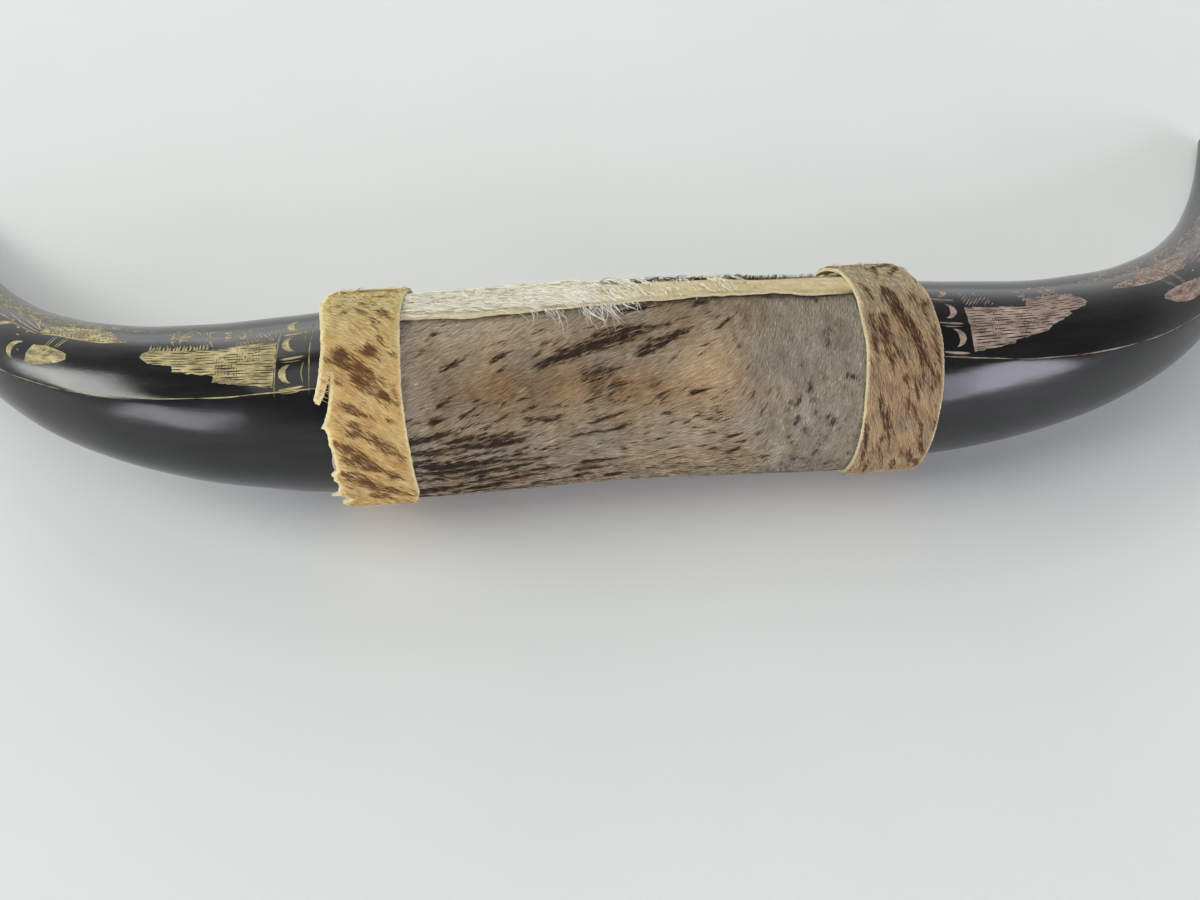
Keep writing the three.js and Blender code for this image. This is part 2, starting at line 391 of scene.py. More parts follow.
horn = {
    "baseX": 105.1,
    "baseRadius": 37.8,
    "tipRadius": 5.6,
    "taperStart": 1.23,
    "taperEnd": 1.24,
    "ridgeAngle": 48.5,
    "ridgeTwist": -32.5,
    "ridgeHeight": 0.114,
    "ridgeHeightAtBase": 0.02,
    "ridgeWidth": 0.5,
    "crest": 0.045,  # how round the ridge is
    "ridgeRise": 0.14,
    "wall": 5.6,
    "hollowLength": 62,
    "hollowEnd": 12,
    "hollowRows": 12,
    "lumps": 0.16,
    "lumpSize": 16,
    "stationGap": 2.0,
    "columnGap": 3,
    "tipRings": (0.97, 0.88, 0.72, 0.5, 0.26),  # shares of the tip's radius
    "grainRadius": 30,
}
bends = {
    "left": {
        "side": -1,
        "length": 298.2,
        "endTurn": 66.9,
        "turnStart": 1.83,
        "turnEnd": 2.62,
        "ridgeDip": 0,
    },
    "right": {
        "side": 1,
        "length": 326.0,
        "endTurn": 65.1,
        "turnStart": 1.78,
        "turnEnd": 2.73,
        "ridgeDip": 5,
    },
}
# The engraved part of a horn is drawn flat: mm from the horn's base, and mm round it.
drawing = {
    "from": 12,
    "to": 250,
    "low": 21,
    "high": 120,
    "mmPerDegree": 0.6,
    "margin": 0.6,
    "depth": 0.12,
    "step": 1.3,  # between the points of an outline
    "moonSpan": 190,  # degrees of a ring that a moon covers
}


def bendLine(bend):
    u = np.linspace(0, 1, 1201)
    heading = np.radians(bend["endTurn"]) * (1 - (1 - u ** bend["turnStart"]) ** bend["turnEnd"])
    between = (heading[1:] + heading[:-1]) / 2
    step = bend["length"] / 1200
    x = horn["baseX"] + np.concatenate([[0], np.cumsum(np.cos(between) * step)])
    y = np.concatenate([[0], np.cumsum(np.sin(between) * step)])
    lean = math.asin((axisZ - horn["tipRadius"] * 1.01) / y[-1])
    return u, x, y, heading, lean


def crestAngle(bend, share):
    dip = bend["ridgeDip"] * np.sin(math.pi * np.clip(share / 0.55, 0, 1))
    return horn["ridgeAngle"] + horn["ridgeTwist"] * share - dip


def plainRadius(share):
    taper = (1 - share ** horn["taperStart"]) ** horn["taperEnd"]
    return horn["tipRadius"] + (horn["baseRadius"] - horn["tipRadius"]) * taper


def onHorn(bend, along, angle, scale=1.0, forward=0.0):
    u, lineX, lineY, heading, lean = bend["line"]
    side = bend["side"]
    t = np.clip(along / bend["length"], 0, 1)
    x, y, turn = (np.interp(t, u, row) for row in (lineX, lineY, heading))
    centre = np.stack([side * x, y * math.cos(lean), -y * math.sin(lean)], -1)
    way = np.stack([side * np.cos(turn), np.sin(turn) * math.cos(lean), -np.sin(turn) * math.sin(lean)], -1)
    up = np.array([0, math.sin(lean), math.cos(lean)])
    out = np.cross(way, up) * side
    away = np.radians(np.abs((angle - crestAngle(bend, t) + 180) % 360 - 180))
    soft = np.sqrt(away ** 2 + horn["crest"] ** 2) - horn["crest"]
    growth = (horn["ridgeHeight"] - horn["ridgeHeightAtBase"]) * smooth(0, horn["ridgeRise"], t)
    ridge = (horn["ridgeHeightAtBase"] + growth) * np.exp(-soft / horn["ridgeWidth"])
    a = np.radians(angle)
    lumps = ripple(along * 0.45 + np.cos(a) * 12, np.sin(a) * 12 + along * 0.1, 11 + side, horn["lumpSize"])
    lumps = lumps * horn["lumps"] * smooth(12, 30, along) * smooth(1.0, 0.9, t)
    radius = (plainRadius(t) * (1 + ridge) + lumps) * scale
    place = centre + np.array([middleX, axisY, axisZ]) + way * np.asarray(forward)[..., None]
    return place + (radius * np.cos(a))[..., None] * out + (radius * np.sin(a))[..., None] * up


def unrolled(places):
    # from (mm along, degrees round) to mm in the drawing
    return np.asarray(places, float) * (1, drawing["mmPerDegree"])


def ways(heading):
    # unit steps along a heading and across it
    a = math.radians(heading)
    return np.array([math.cos(a), math.sin(a)]), np.array([-math.sin(a), math.cos(a)])


class Engraver:
    # collects strokes as outlines with a sunk middle line, in the flat drawing
    def __init__(self, seed):
        self.random = np.random.default_rng(seed)
        self.points, self.faces, self.sunk, self.uncut = [], [], [], set()

    def allowed(self, p):
        d, k, edge = drawing, drawing["mmPerDegree"], drawing["margin"]
        return d["from"] + edge < p[0] < d["to"] - edge and d["low"] * k + edge < p[1] < d["high"] * k - edge

    def stroke(self, line, width, dark=False):
        # a cut along a line of points in mm, tapered at both ends; dark leaves the horn uncut there
        line = np.asarray(line, float)
        if not all(self.allowed(p) for p in line):
            return
        way = np.gradient(line, axis=0)
        way /= np.linalg.norm(way, axis=1)[:, None] + 1e-9
        across = np.stack([-way[:, 1], way[:, 0]], 1)
        share = np.linspace(0, 1, len(line))
        half = width / 2 * np.sin(np.pi * np.clip(share, 0.04, 0.96)) ** 0.45
        left, right = line + across * half[:, None], line - across * half[:, None]
        first = len(self.points)
        middle = line[1:-1] if len(line) > 2 and not dark else line[:0]
        if dark:
            self.uncut.add(len(self.faces))
        ring = np.concatenate([line[:1], left[1:-1], line[-1:], right[-2:0:-1]])
        self.points += [*leftTurning(ring), *middle]
        self.faces.append(list(range(first, first + len(ring))))
        at = first + len(ring)
        self.sunk += range(at, at + len(middle))

    def drawn(self, line, width, dark=False):
        # the same, for a line given as (mm along, degrees round)
        line = unrolled(line)
        sizes = np.linalg.norm(np.diff(line, axis=0), axis=1)
        count = max(3, int(sizes.sum() / drawing["step"]))
        reach = np.concatenate([[0], np.cumsum(sizes)])
        t = np.linspace(0, reach[-1], count)
        fine = np.stack([np.interp(t, reach, line[:, 0]), np.interp(t, reach, line[:, 1])], 1)
        self.stroke(fine, width, dark)

    def crescent(self, centre, size, fat, opening, stretch=1.0):
        # a moon, thickest opposite its opening
        c = unrolled(centre)
        span = drawing["moonSpan"]
        turn = np.radians(np.linspace(opening + 180 - span / 2, opening + 180 + span / 2, 15))
        share = np.linspace(-1, 1, 15)
        arc = np.stack([np.cos(turn) * stretch, np.sin(turn)], 1)
        outer = c + size * arc
        inner = c + (size - fat * (1 - share ** 2) - 0.02)[:, None] * arc
        self.patch(np.concatenate([outer, inner[::-1]]) + self.random.normal(0, 0.05, (30, 2)))
        self.deepen((outer + inner)[2:-2] / 2)

    def deepen(self, points):
        points = [p for p in points if self.allowed(p)]
        self.sunk += range(len(self.points), len(self.points) + len(points))
        self.points += points

    def scraped(self, spots):
        # which places of the drawing are cut
        cut, kept = np.zeros(len(spots), bool), np.zeros(len(spots), bool)
        points = np.array(self.points)
        for number, face in enumerate(self.faces):
            ring = points[face]
            low, high = ring.min(0), ring.max(0)
            near = np.flatnonzero(((spots > low) & (spots < high)).all(1))
            inside = near[insideOf(ring, spots[near, 0], spots[near, 1])]
            (kept if number in self.uncut else cut)[inside] = True
        return cut & ~kept

    def fill(self, outline, heading, pitch):
        # scrapes a whole shape, in shallow furrows that run along heading
        r = self.random
        outline = spaced(unrolled(outline), drawing["step"])
        outline = outline + r.normal(0, 0.13, outline.shape)
        self.patch(outline)
        along, across = ways(heading)
        q, p = outline @ across, outline @ along
        for number, row in enumerate(np.arange(q.min() + 0.2, q.max(), pitch / 2)):
            t = np.arange(p.min() + r.uniform(0, 1.5), p.max(), 1.7)
            t = t + r.normal(0, 0.2, len(t))
            spots = t[:, None] * along + (row + r.normal(0, 0.05, len(t)))[:, None] * across
            spots = spots[insideOf(outline, spots[:, 0], spots[:, 1])]
            if number % 2:
                self.deepen(spots)
            else:
                self.points += [s for s in spots if self.allowed(s)]

    def patch(self, ring):
        if all(self.allowed(p) for p in ring):
            first = len(self.points)
            self.points += [*leftTurning(ring)]
            self.faces.append(list(range(first, first + len(ring))))

    def hatch(self, outline, heading, pitch, width, reach, gap=0.35, wander=3.0, keep=1.0, dark=False):
        # rows of short strokes that fill an outline given as (mm along, degrees round)
        r = self.random
        outline = unrolled(outline)
        along, across = ways(heading)
        q, p = outline @ across, outline @ along
        row = q.min() + pitch * 0.4
        while row < q.max():
            t = np.arange(p.min(), p.max(), 0.3)
            spots = t[:, None] * along + row * across
            inside = insideOf(outline, spots[:, 0], spots[:, 1])
            edges = np.flatnonzero(np.diff(np.concatenate([[0], inside.astype(int), [0]])))
            for start, end in zip(edges[::2], edges[1::2]):
                at, last = t[start] + r.uniform(-0.5, 0.3), t[end - 1] + r.uniform(-0.3, 0.5)
                while at < last - 0.7:
                    stop = min(last, at + reach * r.uniform(0.55, 1.5))
                    if last - stop < 0.8:
                        stop = last
                    if r.random() < keep:
                        count = max(3, int((stop - at) / 2.2) + 2)
                        s = np.linspace(at, stop, count)
                        lean = math.tan(math.radians(r.normal(0, wander)))
                        side = row + r.normal(0, pitch * 0.1) + (s - s.mean()) * lean * 0.5
                        side = side + r.normal(0, 0.035, count)
                        line = s[:, None] * along + side[:, None] * across
                        self.stroke(line, width * r.uniform(0.75, 1.2), dark)
                    at = stop + gap * r.uniform(0.2, 1.4)
            row += pitch * r.uniform(0.9, 1.1)

    def scratches(self, outline, count, heading, spread, length, width):
        r = self.random
        outline = unrolled(outline)
        low, high = outline.min(0), outline.max(0)
        made = 0
        while made < count:
            p = r.uniform(low, high)
            if not insideOf(outline, p[:1], p[1:])[0]:
                continue
            made += 1
            along, across = ways(heading + r.normal(0, spread))
            size = length * r.uniform(0.5, 1.5)
            t = np.linspace(-0.5, 0.5, 4)
            bend = (t ** 2 - 0.25) * size * r.uniform(-0.6, 0.6)
            line = p + t[:, None] * size * along + bend[:, None] * across
            self.stroke(line, width * r.uniform(0.7, 1.3))

    def ridgeLine(self, bend, start, stop, width):
        r = self.random
        at = start
        while at < stop:
            size = r.uniform(16, 34)
            s = np.arange(at, min(at + size, stop), 1.6)
            if len(s) > 2:
                crest = crestAngle(bend, s / bend["length"]) + ripple(s, 0 * s, 5, 24) * 0.35
                self.stroke(np.stack([s, crest * drawing["mmPerDegree"]], 1), width * r.uniform(0.8, 1.2))
            at += size - r.uniform(0.0, 1.6)


# Folk ornament: a band of moons at the strap, a bank of reeds, trees on mounds and birds' wings.
engraving = {
    "left": {
        "moons": [(24.4, 94.5), (25.0, 76.8), (25.2, 56.2)],
        "bars": [86, 66.5, 47.5],
        "barSpan": (19.8, 29.2),
        # (mm along, from angle, to angle, bow)
        "borders": [(30.4, 42, 97, 0.2), (18.2, 44, 97, 0.3), (20.4, 50, 64, 0.9), (20.2, 78, 92, 0.9)],
        "bank": [
            (30.9, 47.8), (30.9, 79), (45, 79), (50, 76.5), (60, 76.5), (80, 77), (83.4, 73.5),
            (83, 69.5), (79, 65.3), (69, 63.6), (68.5, 59.2), (53, 56.4), (52.6, 52), (40, 49.6),
        ],
        "bankTicks": [(42, 52, 48, 64), (48, 57, 53, 70), (36, 66, 46, 77)],
        "reeds": (57.5, 81.5, 76, 81.5),
        "slantHatch": [(31.4, 79.5), (31.4, 90), (38, 90), (47, 80)],
        "slantWay": 52,
        "twigs": [
            [(75, 97), (74, 88), (71.5, 81)], [(69, 99), (70.5, 90), (69.6, 81)],
            [(66, 96), (68, 90), (69.5, 86)], [(59.6, 95), (58, 86), (55.3, 77.5)],
            [(51, 92), (50.4, 87), (52, 83)], [(44.5, 92), (44.5, 85), (47, 79)],
        ],
        "canopy": [
            (92.8, 84.8), (98, 89), (104, 97.5), (112, 100), (124, 99), (134, 92), (136, 83),
            (134.6, 79.5), (126, 83), (114, 83), (104, 82.4),
        ],
        "canopyEdge": [(92.8, 84.6), (104, 82), (114, 82.4), (126, 82.4), (134.6, 79)],
        "trunks": [[(125, 82), (125.4, 74), (125.9, 66)], [(118.6, 83), (120, 76), (121.4, 68)]],
        "mound": [
            (113.6, 60), (114.6, 64.5), (118, 67), (126.5, 68.6), (132.7, 66), (133.4, 57), (132, 48.6),
            (128.4, 48), (122.7, 51.6), (117.2, 55),
        ],
        "bigMoons": [((139, 56), 5.6, 3.2, 178), ((152, 66), 9.5, 3.0, 196), ((165, 68), 10.5, 3.0, 200)],
        "dots": [(138.4, 56, 0.9), (144.5, 70, 1.1), (141.5, 77, 1.0), (148, 78, 1.2), (155, 84, 1.2)],
        "plumes": [
            [(134, 82), (146, 89), (160, 98)], [(135, 80), (148, 85), (163, 92)],
            [(136, 78), (150, 81), (166, 86)], [(136, 84), (143, 92), (152, 102)],
            [(168, 92), (184, 96), (204, 96)], [(168, 88), (186, 90), (208, 88)],
        ],
        "wing": [(133, 86), (139, 95), (150, 103), (156, 101), (146, 93)],
        "wingWay": 62,
        "scratches": 240,
        "edgeScratch": [
            (84, 101), (100, 108), (150, 116), (210, 117), (240, 104), (225, 90), (180, 96), (130, 99),
        ],
        "farMound": [(174, 56), (182, 66), (198, 68), (208, 60), (198, 50), (182, 49)],
    },
    "right": {
        "moons": [(20.6, 95), (20.8, 76), (21.4, 56.6)],
        "bars": [86.5, 66.8, 47.5],
        "barSpan": (15.6, 26),
        "borders": [],
        "bank": [
            (27.4, 47.2), (28.6, 78.3), (55, 77.4), (57, 83.5), (62, 85.3), (72, 85.4), (78, 83.6),
            (82, 79.5), (83.4, 75), (80, 71.4), (76, 69.5), (72, 69), (73, 66.6), (69, 63.8), (62, 60),
            (60, 56.6), (52, 54.4), (45, 52), (44, 50.2), (36, 48.6),
        ],
        "bankTicks": [(36, 56, 41, 74), (47, 55, 53, 72), (53, 60, 58, 76)],
        "reeds": (58, 79, 83.5, 86.6),
        "slantHatch": [(29, 80), (28.6, 95), (38, 95), (43, 80)],
        "slantWay": 48,
        "twigs": [
            [(57, 92), (56.6, 86), (58, 80)], [(64.5, 97), (67, 90), (70, 84)],
            [(68.5, 97), (71, 91), (73, 85)],
        ],
        "canopy": [
            (101, 85), (108, 88.5), (116, 92), (130, 97), (148, 99), (156, 92), (154, 82), (147, 77.5),
            (138, 79.5), (123, 78.6), (112, 80.8),
        ],
        "canopyEdge": [(100, 84.4), (112, 80.4), (123, 78), (138, 79), (150, 80)],
        "trunks": [[(126, 84), (128.5, 74), (131.6, 64)], [(136.6, 80), (137.4, 71), (138.2, 62)]],
        "mound": [
            (121, 59), (122.5, 62.5), (127, 64.4), (134, 64.8), (142, 63), (149, 61), (152, 55),
            (149, 50), (141, 46.6), (134, 47), (126, 52),
        ],
        "bigMoons": [((160, 56), 5.4, 3.0, 182), ((172, 62), 8.6, 2.8, 176)],
        "dots": [(159, 56, 0.9), (164, 70, 1.1), (169, 75, 1.0), (150, 70, 1.2)],
        "plumes": [
            [(150, 82), (160, 90), (172, 98)], [(152, 80), (164, 86), (178, 92)],
            [(152, 78), (166, 81), (182, 84)], [(184, 90), (200, 94), (218, 92)],
            [(186, 86), (202, 88), (222, 85)],
        ],
        "wing": [(156, 74), (166, 84), (178, 88), (192, 84), (182, 76), (170, 70)],
        "wingWay": -12,
        "scratches": 420,
        "edgeScratch": [
            (84, 99), (104, 110), (150, 116), (212, 117), (244, 106), (232, 86), (200, 84), (160, 92),
            (120, 93),
        ],
        "farMound": [(186, 54), (194, 64), (210, 66), (220, 58), (210, 47), (194, 46)],
    },
}


# Widths, lengths and gaps of the strokes, in mm.
cuts = {
    "ridge": 0.44,
    "moonSize": 3.5,
    "moonFat": 2.3,
    "bar": 0.95,
    "barShadow": 0.4,
    "border": 0.42,
    "bank": {"pitch": 1.25, "width": 0.42, "reach": 8.0, "gap": 1.8, "wander": 2, "keep": 0.86},
    "bankTick": {"pitch": 1.0, "width": 0.32, "reach": 1.7, "gap": 1.0, "wander": 10, "keep": 0.85},
    "reed": 0.95,
    "reedGap": 1.35,
    "slant": {"pitch": 1.25, "width": 0.45, "reach": 6, "gap": 0.8, "wander": 5},
    "twig": 0.55,
    "twigBranch": 0.6,
    "leaf": {"length": 1.7, "width": 0.42},
    "canopyLong": {"pitch": 1.05, "width": 0.6, "reach": 2.8, "gap": 0.8, "wander": 26, "keep": 0.9},
    "canopyShort": {"pitch": 1.7, "width": 0.5, "reach": 2.2, "gap": 1.4, "wander": 24, "keep": 0.75},
    "canopyEdge": 0.9,
    "trunk": (0.5, 0.42),
    "mound": {"pitch": 1.6, "width": 0.26, "reach": 2.4, "gap": 3.0, "wander": 6, "keep": 0.55},
    "plume": 0.62,
    "wing": {"pitch": 1.5, "width": 0.7, "reach": 9, "gap": 1.0, "wander": 5},
    "edgeMark": {"length": 3.4, "width": 0.45},
    "edgeHatch": {"pitch": 1.5, "width": 0.62, "reach": 5, "gap": 1.6, "wander": 10, "keep": 0.8},
}


def engraveBand(e, plan):
    # the moons, bars and lines beside the strap
    for place in plan["moons"]:
        e.crescent(place, cuts["moonSize"], cuts["moonFat"], 180 + e.random.uniform(-14, 4), 1.15)
    low, high = plan["barSpan"]
    middle = (low + high) / 2
    for angle in plan["bars"]:
        e.drawn([(low, angle + 0.9), (middle, angle - 0.4), (high, angle - 1.2)], cuts["bar"])
        shadow = [(low + 1.4, angle - 1.8), (middle, angle - 2.8), (high - 0.6, angle - 3.0)]
        e.drawn(shadow, cuts["barShadow"])
    for at, bottom, top, bow in plan["borders"]:
        e.drawn([(at, bottom), (at + bow, (bottom + top) / 2), (at - 0.1, top)], cuts["border"])


def engraveBank(e, plan):
    r = e.random
    e.fill(plan["bank"], 0, 1.0)
    e.hatch(plan["bank"], 0, **cuts["bank"], dark=True)
    for low, bottom, high, top in plan["bankTicks"]:
        outline = [(low, bottom), (low + 1, top), (high, top), (high - 1, bottom)]
        e.hatch(outline, 84, **cuts["bankTick"], dark=True)
    start, stop, foot, head = plan["reeds"]
    for s in np.arange(start, stop, cuts["reedGap"]):
        tall = (head - foot) * r.uniform(0.75, 1.25)
        bent, tip = s + r.normal(0.2, 0.25), s + r.normal(0.5, 0.4)
        e.drawn([(s, foot - 1.5), (bent, foot + tall / 2), (tip, foot + tall)], cuts["reed"])
    e.hatch(plan["slantHatch"], plan["slantWay"], **cuts["slant"])
    for twig in plan["twigs"]:
        e.drawn(twig, cuts["twig"])
        for s, angle in twig[:2]:
            end = (s + r.uniform(1.6, 3.0) * r.choice([-1, 1]), angle + r.uniform(1, 3.5))
            e.drawn([(s, angle), end], cuts["twigBranch"])
            around = [(s - 2.4, angle), (s, angle - 4), (s + 2.4, angle), (s, angle + 4)]
            e.scratches(around, 9, 50, 40, **cuts["leaf"])


def engraveTree(e, plan):
    e.fill(plan["canopy"], 24, 1.1)
    e.hatch(plan["canopy"], 24, **cuts["canopyLong"], dark=True)
    e.hatch(plan["canopy"], -50, **cuts["canopyShort"], dark=True)
    e.drawn(plan["canopyEdge"], cuts["canopyEdge"])
    thick, thin = cuts["trunk"]
    for trunk in plan["trunks"]:
        e.drawn(trunk, thick)
        e.drawn([(s + 1.3, angle) for s, angle in trunk], thin)
    for mound, heading in ((plan["mound"], 8), (plan["farMound"], -6)):
        e.fill(mound, heading, 1.0)
        e.hatch(mound, heading, **cuts["mound"], dark=True)
    high = max(angle for _, angle in plan["mound"])
    for trunk in plan["trunks"]:  # the trunks run on into the mound as uncut lines
        s = trunk[-1][0]
        e.drawn([(s, high - 3), (s + 0.6, high - 7)], 0.5, dark=True)
        e.drawn([(s + 1.3, high - 2), (s + 2.2, high - 6)], 0.4, dark=True)


def engrave(name, bend):
    e, plan = Engraver(41 + bend["side"]), engraving[name]
    e.ridgeLine(bend, 14, bend["length"] * 0.72, cuts["ridge"])
    engraveBand(e, plan)
    engraveBank(e, plan)
    engraveTree(e, plan)
    for centre, size, fat, opening in plan["bigMoons"]:
        e.crescent(centre, size, fat, opening)
    for s, angle, size in plan["dots"]:
        e.drawn([(s - size, angle), (s, angle + 0.2), (s + size, angle)], size * 1.1)
    for line in plan["plumes"]:
        e.drawn(line, cuts["plume"])
    e.hatch(plan["wing"], plan["wingWay"], **cuts["wing"])
    e.scratches(plan["edgeScratch"], plan["scratches"], 8, 26, **cuts["edgeMark"])
    e.hatch(plan["edgeScratch"], 12, **cuts["edgeHatch"])
    return e


def hornRows(bend, stations, angles):
    # rings of points out of the hollow, over the horn and round its tip, then both end points
    rows, grains = [], []
    a = np.radians(angles)
    plain = horn["grainRadius"]
    length, tip = bend["length"], horn["tipRadius"]

    def addRow(along, scale=1.0, forward=0.0):
        rows.append(onHorn(bend, np.full(len(angles), along), angles, scale, forward))
        level = np.full(len(angles), along + forward)
        grains.append(np.stack([level, plain * np.cos(a), plain * np.sin(a)], 1))

    inner = horn["baseRadius"] - horn["wall"]
    for share in np.linspace(1, 0, horn["hollowRows"]):
        radius = inner + (horn["hollowEnd"] - inner) * share ** 1.6
        along = share * horn["hollowLength"]
        addRow(along, radius / plainRadius(along / length))
    for along in stations:
        addRow(along)
    for share in horn["tipRings"]:
        addRow(length, share, tip * math.sqrt(1 - share * share))
    deepest = onHorn(bend, np.array(horn["hollowLength"] + 2.0), np.array(0.0), 0.0)
    furthest = onHorn(bend, np.array(length), np.array(0.0), 0.0, tip)
    ends = [[horn["hollowLength"], 0, 0], [length + tip, 0, 0]]
    return np.concatenate([*rows, [deepest, furthest]]), np.concatenate([*grains, ends])


def cutDrawing(bend, e, flatGrid, gridIndex, firstNew):
    # triangles over the drawn patch, cut up along every stroke, with the new points that they need
    scale = drawing["mmPerDegree"]
    flat = np.concatenate([flatGrid, np.array(e.points)])
    offset = len(flatGrid)
    loops = [[offset + v for v in face] for face in e.faces]
    verts, tris, sources = triangulated(flat, loops, 0, 1e-4)
    sunk = np.zeros(len(flat), bool)
    sunk[np.array(e.sunk) + offset] = True
    newIndex = np.empty(len(verts), int)
    extra, deep = [], []
    for v, origins in enumerate(sources):
        grid = [s for s in origins if s < offset]
        if grid:
            newIndex[v] = gridIndex[grid[0]]
        else:
            newIndex[v] = firstNew + len(extra)
            extra.append(v)
            deep.append(any(sunk[s] for s in origins))
    along, angle = verts[extra][:, 0], verts[extra][:, 1] / scale
    level = onHorn(bend, along, angle)
    lower = onHorn(bend, along, angle, 1 - drawing["depth"] / horn["grainRadius"])
    newPoints = np.where(np.array(deep)[:, None], lower, level)
    a = np.radians(angle)
    newGrain = np.stack([along, horn["grainRadius"] * np.cos(a), horn["grainRadius"] * np.sin(a)], 1)
    cut, marks = newIndex[tris], e.scraped(verts[tris].mean(1))
    whole = (cut[:, 0] != cut[:, 1]) & (cut[:, 1] != cut[:, 2]) & (cut[:, 0] != cut[:, 2])
    return cut[whole], marks[whole], newPoints, newGrain


def shadeHorn(piece, bend, points, faces, grain, marks, formed):
    # smooth shading follows the horn's own form, and only the cuts are faceted
    along = grain[:, 0]
    angle = np.degrees(np.arctan2(grain[:, 2], grain[:, 1]))
    ahead = onHorn(bend, along + 0.3, angle) - onHorn(bend, np.maximum(along - 0.3, 0), angle)
    aside = onHorn(bend, along, angle + 0.8) - onHorn(bend, along, angle - 0.8)
    normal = np.cross(aside, ahead) * bend["side"] * -1
    normal /= np.linalg.norm(normal, axis=1)[:, None] + 1e-12
    edge = points[faces]
    faceNormal = np.cross(edge[:, 1] - edge[:, 0], edge[:, 2] - edge[:, 0])
    faceNormal /= np.linalg.norm(faceNormal, axis=1)[:, None] + 1e-12
    corner = normal[faces]
    agree = (corner * faceNormal[:, None]).sum(2).mean(1)
    own = (marks == 1) | (agree < 0.9)
    corner[own] = faceNormal[own][:, None]
    plain = ~formed[faces].all(1)
    corner[plain] = vertexNormals(points, faces)[faces][plain]
    piece.data.normals_split_custom_set(corner.reshape(-1, 3).tolist())


def buildHorn(name, bend, scraped):
    bend["line"] = bendLine(bend)
    count = int(round(bend["length"] / horn["stationGap"]))
    stations = np.linspace(0, bend["length"], count + 1)
    angles = np.arange(-90, 270, horn["columnGap"], dtype=float)
    columns, baseRow = len(angles), horn["hollowRows"]
    points, grain = hornRows(bend, stations, angles)
    index = np.arange(len(points) - 2).reshape(-1, columns)
    deepest, furthest = len(points) - 2, len(points) - 1

    # the drawn part of the grid is left out here and cut up along the strokes instead
    i0 = baseRow + int(np.searchsorted(stations, drawing["from"]))
    i1 = baseRow + int(np.searchsorted(stations, drawing["to"])) - 1
    j0, j1 = int((drawing["low"] + 90) / horn["columnGap"]), int((drawing["high"] + 90) / horn["columnGap"])
    i, j = np.meshgrid(np.arange(len(index) - 1), np.arange(columns), indexing="ij")
    keep = ~((i >= i0) & (i < i1) & (j >= j0) & (j < j1))
    i, j = i[keep], j[keep]
    k = (j + 1) % columns
    a, b, c, d = index[i, j], index[i, k], index[i + 1, k], index[i + 1, j]
    ring = np.arange(columns)
    after = (ring + 1) % columns
    faces = np.concatenate([
        np.stack([a, c, b], 1),
        np.stack([a, d, c], 1),
        np.stack([np.full(columns, deepest), index[0, ring], index[0, after]], 1),
        np.stack([np.full(columns, furthest), index[-1, after], index[-1, ring]], 1),
    ])

    e = engrave(name, bend)
    gi, gj = np.meshgrid(np.arange(i0, i1 + 1), np.arange(j0, j1 + 1), indexing="ij")
    flatGrid = np.stack([stations[gi.ravel() - baseRow], angles[gj.ravel()] * drawing["mmPerDegree"]], 1)
    gridIndex = index[gi.ravel(), gj.ravel()]
    cut, cutMarks, newPoints, newGrain = cutDrawing(bend, e, flatGrid, gridIndex, len(points))
    points, grain = np.concatenate([points, newPoints]), np.concatenate([grain, newGrain])
    marks = np.concatenate([np.zeros(len(faces), int), cutMarks.astype(int)])
    faces = np.concatenate([faces, cut])
    if bend["side"] < 0:
        faces = faces[:, ::-1]
    piece = makePiece("engravedHorn" + name.capitalize(), points, faces, [blackHorn, scraped],
                      ("horn_" + name,), marks)
    setAttribute(piece, "grain", grain * 0.1, "FLOAT_VECTOR")
    formed = np.zeros(len(points), bool)
    formed[index[baseRow + 1:baseRow + count + 1].ravel()] = True
    formed[len(points) - len(newPoints):] = True
    shadeHorn(piece, bend, points, faces, grain, marks, formed)
    print(name, "horn:", len(faces), "faces,", len(e.faces), "strokes")


def vertexNormals(points, faces):
    edge = points[faces]
    n = np.cross(edge[:, 1] - edge[:, 0], edge[:, 2] - edge[:, 0])
    total = np.zeros_like(points)
    for corner in range(3):
        np.add.at(total, faces[:, corner], n)
    return total / (np.linalg.norm(total, axis=1)[:, None] + 1e-12)


buildHorn("left", bends["left"], scrapedLeft)
buildHorn("right", bends["right"], scrapedRight)

# Hide. Flat places are (mm along the core, mm round it), and hair lies along a flow of angles
# that are 0 towards +X and 90 where it runs up and over.

def flatDistance(points, outline):
    tree = KDTree(len(outline))
    for i, p in enumerate(outline):
        tree.insert((p[0], p[1], 0), i)
    tree.balance()
    return np.array([tree.find((p[0], p[1], 0))[2] for p in points])


